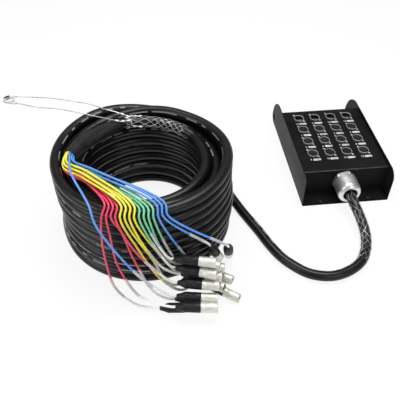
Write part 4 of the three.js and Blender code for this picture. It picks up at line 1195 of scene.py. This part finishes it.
# %% [markdown]
# A rubber grommet lines each ear's hole, so that a rope or a hook doesn't chafe. It is turned round the
# hole's axis: a sleeve flush with the cheek outside, and a collar that stands proud inside.

# %% Ear grommets
GROMMET = [(8.2, 0), (9.15, 0), (9.15, 1.65), (11.2, 1.65), (11.5, 2.0), (11.5, 4.2), (11.0, 4.7),
           (8.3, 4.7), (7.9, 4.3), (7.9, 0.3)]
for x, side in ((-HALF_W, "left"), (HALF_W, "right")):
    grommet = Gathered()
    inward = (-math.copysign(1, x), 0, 0)
    turned(grommet, GROMMET, 40, 0, (x, HOLE_Y, HOLE_Z), inward, closed=True)
    grommet.make("ear_grommet_" + side, [seal_rubber])

# %% [markdown]
# ## Screws
# The screws have a low round head with a cross recess. A boolean with a cross would cut it out, but it
# leaves long thin faces. Here the recess is pressed into the head by lowering the points that lie inside
# the cross.

# %% Screw heads
CROSS_HALF, CROSS_REACH, CROSS_DEPTH = 0.15, 0.6, 0.55


def screw_head(gathered, x, y, z, radius, height, finish=0, turn=0.0, rings=9, sides=36):
    """A dome of rings. The cross's sizes are shares of the head's radius and height."""
    spokes = [2 * math.pi * k / sides for k in range(sides)]
    points = [(0.0, 0.0, height * (1 - CROSS_DEPTH))]
    for i in range(1, rings + 1):
        share = i / rings
        dome = math.sqrt(1 - (share * 0.92) ** 2) if i < rings else 0.3
        for a in spokes:
            px, py = share * math.cos(a), share * math.sin(a)
            in_cross = min(abs(px), abs(py)) < CROSS_HALF and max(abs(px), abs(py)) < CROSS_REACH
            points.append((px * radius, py * radius, (dome - CROSS_DEPTH * in_cross) * height))
    rim = len(points)
    points += [(radius * math.cos(a), radius * math.sin(a), 0) for a in spokes]
    faces = [(0, 1 + k, 1 + (k + 1) % sides) for k in range(sides)]
    for i in range(rings):
        faces += band(1 + i * sides, 1 + (i + 1) * sides, sides)
    faces.append([rim + k for k in range(sides)])
    spun = np.array(points) @ np.array(Matrix.Rotation(turn, 3, "Z")).T
    gathered.add(spun + (x, y, z), faces, finish)


for (x, y), name in zip(FOOT_SCREWS, ("front_left", "rear_left", "front_right", "rear_right")):
    screw = Gathered()
    screw_head(screw, x, y, 3.8, radius=3.4, height=2.1, turn=0.4 + x)
    turned(screw, [(0, 0.3), (1.7, 0.3), (1.8, 0.6), (1.8, 3.9), (0, 3.9)], 20, place=(x, y, 0))
    screw.make("panhead_screw_" + name, [foot_screw], ["cover_screw_" + name])

# %% [markdown]
# ## The sockets
# A socket is a flange held by two screws, with a thin nickel ring round a black insert. In the send
# sockets the insert is a core with three holes that nearly fills the ring; the four return sockets are
# hollow, with three pins. Each row is one piece in the CAD model, so a row is gathered as one mesh.

# %% Socket parts
socket_finishes = [socket_black, rim_nickel, screw_zinc, contact_brass, pin_silver]
BLACK, NICKEL, ZINC, BRASS, SILVER = range(len(socket_finishes))
FLANGE_LOW, FLANGE_TOP, RIM_TOP, SEAT_Z = 69.3, 71.1, 71.9, 70.6
FIXINGS = ((-9.6, 12.2), (9.6, -12.2))
BARREL = [(0, 47.4), (11.4, 47.4), (11.8, 47.8), (11.8, SEAT_Z), (10.75, SEAT_Z), (10.75, 71.35),
          (10.1, 71.35), (9.7, 70.95)]
RING = [(10.75, SEAT_Z), (11.85, SEAT_Z), (11.85, 71.5), (11.55, RIM_TOP), (11.1, RIM_TOP),
        (10.75, 71.5)]
CORE_RADIUS, CORE_LOW, HOLLOW_LOW = 8.3, 60.9, 59.9
CONTACTS = contact_places((-150, -90, -30))


def flange(gathered, x, y):
    holes = [[(circle(11.85, 40), z) for z in (FLANGE_LOW, FLANGE_TOP)]]
    for sx, sy in FIXINGS:
        holes.append([(circle(1.5, 14, sx, sy), z) for z in (FLANGE_LOW, FLANGE_TOP)])
    outer = [(rounded_box(26, 31, 2.6), FLANGE_LOW), (rounded_box(26, 31, 2.6), FLANGE_TOP - 0.45),
             (rounded_box(25.1, 30.1, 2.15), FLANGE_TOP)]
    plate(gathered, outer, holes, BLACK, (x, y, 0))
    turned(gathered, RING, 48, NICKEL, (x, y, 0), closed=True)
    for sx, sy in FIXINGS:
        screw_head(gathered, x + sx, y + sy, FLANGE_TOP, radius=2.5, height=1.25, finish=ZINC,
                   turn=x * 0.3 + y, rings=7, sides=28)


def send_socket(gathered, x, y):
    flange(gathered, x, y)
    turned(gathered, [*BARREL, (9.7, CORE_LOW), (CORE_RADIUS, CORE_LOW)], 48, BLACK, (x, y, 0))
    for hx, hy in CONTACTS:
        turned(gathered, [(0, 66), (1.3, 66), (1.3, 66.6), (0, 66.6)], 14, BRASS, (x + hx, y + hy, 0))
    holes = [[(circle(1.35, 14, hx, hy), z) for z in (66, 71.2)] for hx, hy in CONTACTS]
    core = [(circle(CORE_RADIUS, 40), CORE_LOW), (circle(CORE_RADIUS, 40), 70.9),
            (circle(7.95, 40), 71.2)]
    plate(gathered, core, holes, BLACK, (x, y, 0), bottom=False)


def return_socket(gathered, x, y):
    flange(gathered, x, y)
    turned(gathered, [*BARREL, (9.7, HOLLOW_LOW), (0, HOLLOW_LOW)], 48, BLACK, (x, y, 0))
    for hx, hy in CONTACTS:
        pin = [(0, 59), (1.2, 59), (1.2, 67.9), (0.9, 68.6), (0, 68.9)]
        turned(gathered, pin, 16, SILVER, (x + hx, y + hy, 0))
    key = [(rounded_box(1.8, 1.2, 0.3), z) for z in (HOLLOW_LOW, 70.4)]
    plate(gathered, key, (), BLACK, (x, y + 9.2, 0))


# %% [markdown]
# The four hollow sockets of the rear row are pieces of their own, so each is gathered by itself. Under
# each row of send sockets runs a ground strip that joins their barrels.

# %% Sockets in their rows
for letter, (x, y) in zip("abcd", SOCKETS[0]):
    hollow = Gathered()
    return_socket(hollow, x, y)
    hollow.make("pin_socket_" + letter, socket_finishes, ["return_socket_" + letter])
for number, places in enumerate(SOCKETS[1:], 1):
    bank = Gathered()
    for x, y in places:
        send_socket(bank, x, y)
    strip = [(rounded_box(117, 9, 1), z) for z in (45.8, 47.4)]
    plate(bank, strip, (), NICKEL, (0, places[0][1], 0))
    bank.make(f"send_bank_{number}", socket_finishes, [f"send_sockets_row_{number}"])

# %% [markdown]
# A press tab behind each send socket unlocks its plug. It slides, so each tab is a piece that rides on
# its own body. It could be part of its socket's mesh with a shape key, but a body's motion moves whole
# pieces only.

# %% Press tabs
TAB_Y = 13
for number, (x, y) in enumerate(SEND_PLACES, 1):
    tab = Gathered()
    shape = [(rounded_box(6.4, 3.8, 0.5), 67.1), (rounded_box(6.4, 3.8, 0.5), 72.3),
             (rounded_box(5.8, 3.2, 0.3), 72.7)]
    plate(tab, shape, (), 0, (x, y + TAB_Y, 0))
    name = f"latch_tab_{number}"
    tab.make(f"press_tab_{number}", [latch_black], [name], body=name)

# %% [markdown]
# ## Strips and numbers
# Under each socket lies a white strip to write on, with the socket's number beside it. The numbers are
# Blender text turned into mesh, a hair thicker than paint so that they don't flicker with the panel.

# %% Write-on strips
STRIP_X, NUMBER_X, LABEL_Y, NUMBER_SIZE = 5, -8.6, -20.3, 7.6
strips = Gathered()
strip_loop = rounded_box(17, 6.4, 0.5)
for x, y in SOCKETS[0] + SEND_PLACES:
    stack = [(strip_loop, PANEL_Z + 0.02), (strip_loop, PANEL_Z + 0.2)]
    plate(strips, stack, (), 0, (x + STRIP_X, y + LABEL_Y, 0))
strips.make("write_on_strips", [strip_white])

# %% [markdown]
# The rear row has the last four numbers and the send sockets have 1 to 12. Sixteen text objects would
# do, but they would be sixteen pieces that belong together, so their faces are copied into one mesh.

# %% Numbers
numbers = Gathered()
labels = [13, 14, 15, 16, *range(1, 13)]
for label, (x, y) in zip(labels, SOCKETS[0] + SEND_PLACES):
    text = bpy.data.curves.new("number", "FONT")
    text.body, text.size, text.extrude, text.resolution_u = str(label), NUMBER_SIZE, 0.05, 3
    text.align_x, text.align_y = "CENTER", "CENTER"
    holder = bpy.data.objects.new("number", text)
    mesh = bpy.data.meshes.new_from_object(holder)
    points = np.array([v.co for v in mesh.vertices]) + (x + NUMBER_X, y + LABEL_Y, PANEL_Z + 0.1)
    numbers.add(points, [tuple(p.vertices) for p in mesh.polygons])
    bpy.data.objects.remove(holder)
    bpy.data.curves.remove(text)
    bpy.data.meshes.remove(mesh)
numbers.make("position_numbers", [number_ink])

# %% [markdown]
# ## The gland
# A cable gland clamps the cable where it enters the box. Its dome nut starts as a hexagon and turns into
# a round mouth. Cutting a cone out of a hexagon would take a boolean. Here the radius at each angle and
# height is simply the smaller of the two forms, which gives the same curved facets.

# %% Dome nut
HEX_LENGTH, HEX_CORNER, HEX_FLAT, DRUM = 9.3, math.radians(15), 23.38, 25.5
COLLAR, COLLAR_END, DOME_FROM, MOUTH = 27.0, 6.6, 40, 16.6
NUT_SIDES = 120


def dome(z):
    """The round form's radius: a collar with a soft edge, a drum and a rounded mouth."""
    if z < COLLAR_END:
        return COLLAR - 2.2 * ease(2.5, 0.3, z)
    if z < DOME_FROM:
        return max(DRUM, COLLAR - 0.18 * (z - COLLAR_END) ** 2)
    return MOUTH + (DRUM - MOUTH) * math.sqrt(max(0.0, 1 - ((z - DOME_FROM) / 10) ** 2))


def nut_radius(z, angle):
    if z > HEX_LENGTH:
        return min(DRUM, dome(z))
    return min(HEX_FLAT / math.cos((angle - HEX_CORNER) % (math.pi / 3) - math.pi / 6), dome(z))


angles = [2 * math.pi * k / NUT_SIDES for k in range(NUT_SIDES)]
heights = [0.3, 1, 2, 3, 5, 6.6, 7.4, 8.2, 9, HEX_LENGTH, HEX_LENGTH + 0.01, 12, 20, 30, 38, 40, 42, 44,
           45.5, 47, 48.2, 49.1, 49.7, 50]
rings = [[(nut_radius(z, a), z) for a in angles] for z in heights]
for radius, z in ((15.9, 50), (15.5, 49.6), (15.5, 38.6), (19.3, 38.6), (19.3, 0.3)):
    rings.append([(radius, z)] * NUT_SIDES)
points = [(radius * math.cos(a), FRONT_Y - z, GLAND_Z + radius * math.sin(a))
          for ring in rings for a, (radius, z) in zip(angles, ring)]
faces = []
for i in range(len(rings)):
    faces += band(i * NUT_SIDES, (i + 1) % len(rings) * NUT_SIDES, NUT_SIDES)
nut = Gathered()
nut.add(points, faces)
nut.make("dome_nut_turned", [gland_nickel], ["gland_dome_nut"], sharp=28)

# %% [markdown]
# The gland's threaded body and locknut keep their CAD shapes and only take the nickel finish. The seal
# keeps its shape too. They are plain turned parts that hardly show, so a new mesh would add nothing.

# %% Pieces that keep their CAD shape
repainted = {"gland_body": gland_nickel, "gland_locknut": gland_nickel, "gland_seal": seal_rubber}
for name, material in repainted.items():
    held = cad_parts[name].data
    held.materials.clear()
    held.materials.append(material)
print("repainted:", *repainted)

# %% [markdown]
# ## The wiring inside
# Inside the box the cable's cores part and run to the sockets. Nobody sees them in the photograph, but
# the box would be empty without them: one thin wire for each socket, bundled in the middle.

# %% Wiring
LOOM_PITCH, WIRE_RADIUS, SOLDERED_Z, LOW_Z = 3.6, 1.5, 45.3, 31
loom = Gathered()
for r, line in enumerate(SOCKETS):
    for c, (x, y) in enumerate(line):
        dx, dz = (c - 1.5) * LOOM_PITCH, (r - 1.5) * LOOM_PITCH
        points = [(dx, FRONT_Y + 12.3, GLAND_Z + dz), (dx, -84, GLAND_Z + dz),
                  (dx, -64, LOW_Z + dz * 0.9), (dx, y - 22, LOW_Z + dz * 0.8),
                  (dx + (x - dx) * 0.2, y - 4 + c, 36), (x * 0.8, y - 2 + c, 41),
                  (x, y - 2 + c * 1.2, SOLDERED_Z)]
        wire = Line(points, 4)
        lay_tube(loom, wire, wire.stations(WIRE_RADIUS, 4), 8)
loom.make("loom_wires", [loom_finish], ["wiring_loom"])

# %% [markdown]
# ## Floor and light
# The studio is a pale floor under a broad soft light. The floor is plain white paper. More light on it
# would bleach the object as well, so instead the paper glows a little towards the camera. That makes it
# come out white and keeps the soft shadows under the cable and the plugs.

# %% Floor
FLOOR_RADIUS, PAPER_GLOW = 7, 0.88
floor_mesh = bpy.data.meshes.new("studio_floor")
disc = bmesh.new()
bmesh.ops.create_circle(disc, cap_ends=True, radius=FLOOR_RADIUS, segments=96)
disc.to_mesh(floor_mesh)
disc.free()
studio_floor = put_in_scene("studio_floor", floor_mesh)

paper = bpy.data.materials.new("studio_paper")
paper.use_nodes = True
tree = paper.node_tree
shader = tree.nodes["Principled BSDF"]
fibres = node(tree, "Group", {"node_tree": grain}, Fine_Scale=400.0, Coarse_Scale=3.0)
tree.links.new(blend(tree, fibres.outputs["Mottle"], (0.93, 0.93, 0.93), (0.95, 0.95, 0.95)),
               shader.inputs["Base Color"])
shader.inputs["Roughness"].default_value = 0.9
shader.inputs["Specular IOR Level"].default_value = 0.1
glow = node(tree, "Emission", Color=(1, 1, 1), Strength=1.0)
rays = tree.nodes.new("ShaderNodeLightPath").outputs
mirrored = maths(tree, "MAXIMUM", rays["Is Glossy Ray"], rays["Is Transmission Ray"])
seen = maths(tree, "MAXIMUM", rays["Is Camera Ray"], mirrored)
both = node(tree, "MixShader", i0=maths(tree, "MULTIPLY", seen, PAPER_GLOW), i1=shader.outputs[0],
            i2=glow.outputs[0])
tree.links.new(both.outputs[0], tree.nodes["Material Output"].inputs["Surface"])
floor_mesh.materials.append(paper)
print("floor laid:", 2 * FLOOR_RADIUS, "m across")

# %% [markdown]
# A world of even pale grey fills the shadows, and three large area lamps give the long soft highlights
# on the cable and show the cheeks' flat sides. One sun lamp would light it as brightly, but its
# highlights would be thin and its shadows hard.

# %% Light
FILL = 0.25
world = bpy.data.worlds.new("studio")
world.use_nodes = True
background = world.node_tree.nodes["Background"]
background.inputs["Color"].default_value = (1, 1, 1, 1)
background.inputs["Strength"].default_value = FILL
bpy.context.scene.world = world


def softbox(name, place, aim, width, height, watts):
    light = bpy.data.lights.new(name, "AREA")
    light.shape, light.size, light.size_y, light.energy = "RECTANGLE", width, height, watts
    lamp = put_in_scene(name, light)
    lamp.location = place
    lamp.rotation_euler = (Vector(aim) - Vector(place)).to_track_quat("-Z", "Y").to_euler()
    print(f"{name}: {watts} W")


softbox("overhead_softbox", (-0.15, 0.2, 1.9), (-0.3, -0.1, 0), 1.5, 0.9, 34)
softbox("left_softbox", (-2.0, -0.8, 1.1), (-0.3, -0.1, 0.05), 1.2, 1.0, 14)
softbox("front_softbox", (0.6, -1.9, 1.2), (-0.2, -0.1, 0.05), 1.4, 0.9, 10)
bpy.context.scene.view_settings.view_transform = "Standard"
